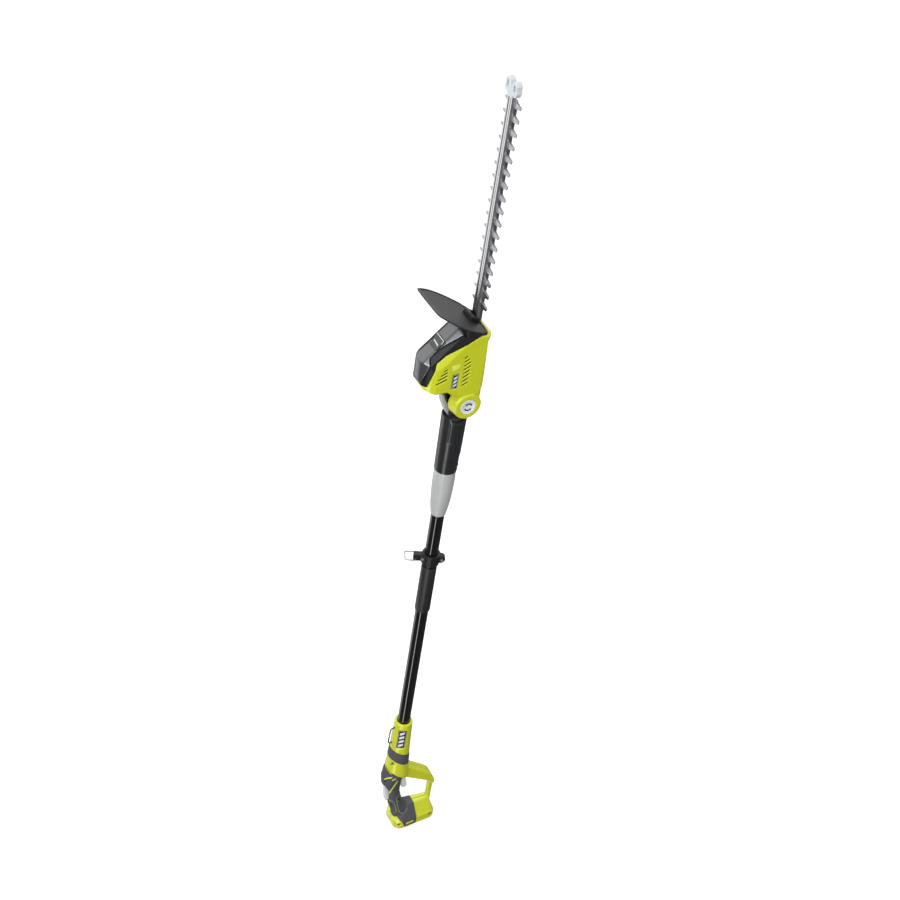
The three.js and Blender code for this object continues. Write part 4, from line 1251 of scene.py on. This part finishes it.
def toothTemplate(name, reach, rootHalf, tipHalf, material):
    root = blades["root"] - 1
    side = [
        (root, -rootHalf - 1.6), (blades["root"] + 1.2, -rootHalf), (reach * 0.72, -tipHalf - 1.0),
        (reach - 1.6, -tipHalf + 0.2), (reach - 0.3, -tipHalf * 0.4), (reach, tipHalf * 0.4),
        (reach - 0.8, tipHalf + 0.6), (reach * 0.72, tipHalf + 1.4), (blades["root"] + 1.4, rootHalf + 0.6),
        (root, rootHalf + 1.8),
    ]
    count = len(side)
    half = blades["thickness"] / 2
    vertices = []
    for x, scale in ((-half, 1.0), (half - 0.7, 1.0), (half, 0.86)):
        for y, z in side:
            sharp = root + (y - root) * (1 - (1 - scale) * 0.6)
            vertices.append((x, sharp, z * scale))
    faces = [tuple(range(count)), tuple(range(3 * count - 1, 2 * count - 1, -1))]
    for level in (0, 1):
        for i in range(count):
            j = (i + 1) % count
            a = level * count
            faces.append((a + i, a + j, a + count + j, a + count + i))
    return byAngle(fromFaces(name, vertices, faces, material), 30)


def toothTree(name, material, template):
    tree = bpy.data.node_groups.new(name, "GeometryNodeTree")
    tree.interface.new_socket("Geometry", in_out="INPUT", socket_type="NodeSocketGeometry")
    addInput(tree, "Teeth", "NodeSocketInt", 17)
    addInput(tree, "Pitch", "NodeSocketFloat", 0.025)
    addInput(tree, "First height", "NodeSocketFloat", 1.455)
    addInput(tree, "Plane", "NodeSocketFloat", 0.0)
    tree.interface.new_socket("Geometry", in_out="OUTPUT", socket_type="NodeSocketGeometry")
    nodes, links = tree.nodes, tree.links
    source = nodes.new("NodeGroupInput")
    result = nodes.new("NodeGroupOutput")
    start = nodes.new("ShaderNodeCombineXYZ")
    links.new(source.outputs["First height"], start.inputs["Z"])
    links.new(source.outputs["Plane"], start.inputs["X"])
    step = nodes.new("ShaderNodeCombineXYZ")
    links.new(source.outputs["Pitch"], step.inputs["Z"])
    line = nodes.new("GeometryNodeMeshLine")
    links.new(source.outputs["Teeth"], line.inputs["Count"])
    links.new(start.outputs[0], line.inputs["Start Location"])
    links.new(step.outputs[0], line.inputs["Offset"])
    shape = nodes.new("GeometryNodeObjectInfo")
    shape.inputs["Object"].default_value = template
    both = nodes.new("GeometryNodeJoinGeometry")
    for scale in (1, -1):
        mirrored = nodes.new("GeometryNodeTransform")
        mirrored.inputs["Scale"].default_value = (1, scale, 1)
        links.new(shape.outputs["Geometry"], mirrored.inputs["Geometry"])
        ready = mirrored.outputs["Geometry"]
        if scale < 0:
            flip = nodes.new("GeometryNodeFlipFaces")
            links.new(ready, flip.inputs["Mesh"])
            ready = flip.outputs["Mesh"]
        spread = nodes.new("GeometryNodeInstanceOnPoints")
        links.new(line.outputs["Mesh"], spread.inputs["Points"])
        links.new(ready, spread.inputs["Instance"])
        links.new(spread.outputs["Instances"], both.inputs[0])
    links.new(source.outputs["Geometry"], both.inputs[0])
    real = nodes.new("GeometryNodeRealizeInstances")
    links.new(both.outputs["Geometry"], real.inputs["Geometry"])
    paint = nodes.new("GeometryNodeSetMaterial")
    paint.inputs["Material"].default_value = finishes[material]
    links.new(real.outputs["Geometry"], paint.inputs["Geometry"])
    links.new(paint.outputs["Geometry"], result.inputs[0])
    return tree


def bladePiece(name, plane, reach, rootHalf, tipHalf):
    z0, z1, wide = blades["foot"]
    root = blades["root"]
    half = blades["thickness"] / 2
    right = [(wide, z0), (wide, z1), (root, z1 + 6), (root, blades["top"] - 3), (root - 3, blades["top"])]
    outline = right + [(-y, z) for y, z in reversed(right)]
    vertices = [(plane - half, y, z) for y, z in outline] + [(plane + half, y, z) for y, z in outline]
    body = fromFaces(name, vertices, prismFaces(len(outline)), "tooth")
    for i, height in enumerate(blades["bolts"]):
        z = pivot[1] + height
        cut(body, block("slot%d" % i, (plane - 3, -3.4, z - 10), (plane + 3, 3.4, z + 10), "tooth"))
    cut(body, block("yokeSlot", (plane - 3, -11, 1359), (plane + 3, 11, 1379), "tooth"))
    template = toothTemplate(name + "Tooth", reach, rootHalf, tipHalf, "tooth")
    tree = toothTree(name + "Teeth", "tooth", template)
    values = {
        "Teeth": blades["count"], "Pitch": blades["pitch"] * mm, "First height": blades["first"] * mm,
        "Plane": plane * mm,
    }
    runTree(body, tree, values)
    bpy.data.objects.remove(template)
    return byAngle(body, 30)


settle(bladePiece("upperBlade", 14.8, 26.5, 5.0, 2.5), "upper_blade", ["upper_blade"])
settle(bladePiece("lowerBlade", 17.6, 23.5, 5.2, 2.0), "lower_blade", ["lower_blade"])
settle(moulded("tipGuard", "tip_guard", "white", 0.42, 7), "head", ["tip_guard"])
print("cutter")

# Inner parts keep their CAD shape.
innerFinishes = {
    "trigger_switch": "black", "battery_terminal_block": "black", "pole_wire": "wire",
    "lower_connector": "black", "upper_connector": "black", "lever_pin": "steel", "pivot_bolt": "steel",
    "motor": "steel", "motor_pinion": "steel", "drive_gear": "steel", "gearbox_plate": "steel",
}
for node, finishName in innerFinishes.items():
    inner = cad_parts[node]
    inner.data.materials.clear()
    inner.data.materials.append(finishes[finishName])
print("inner parts finished")
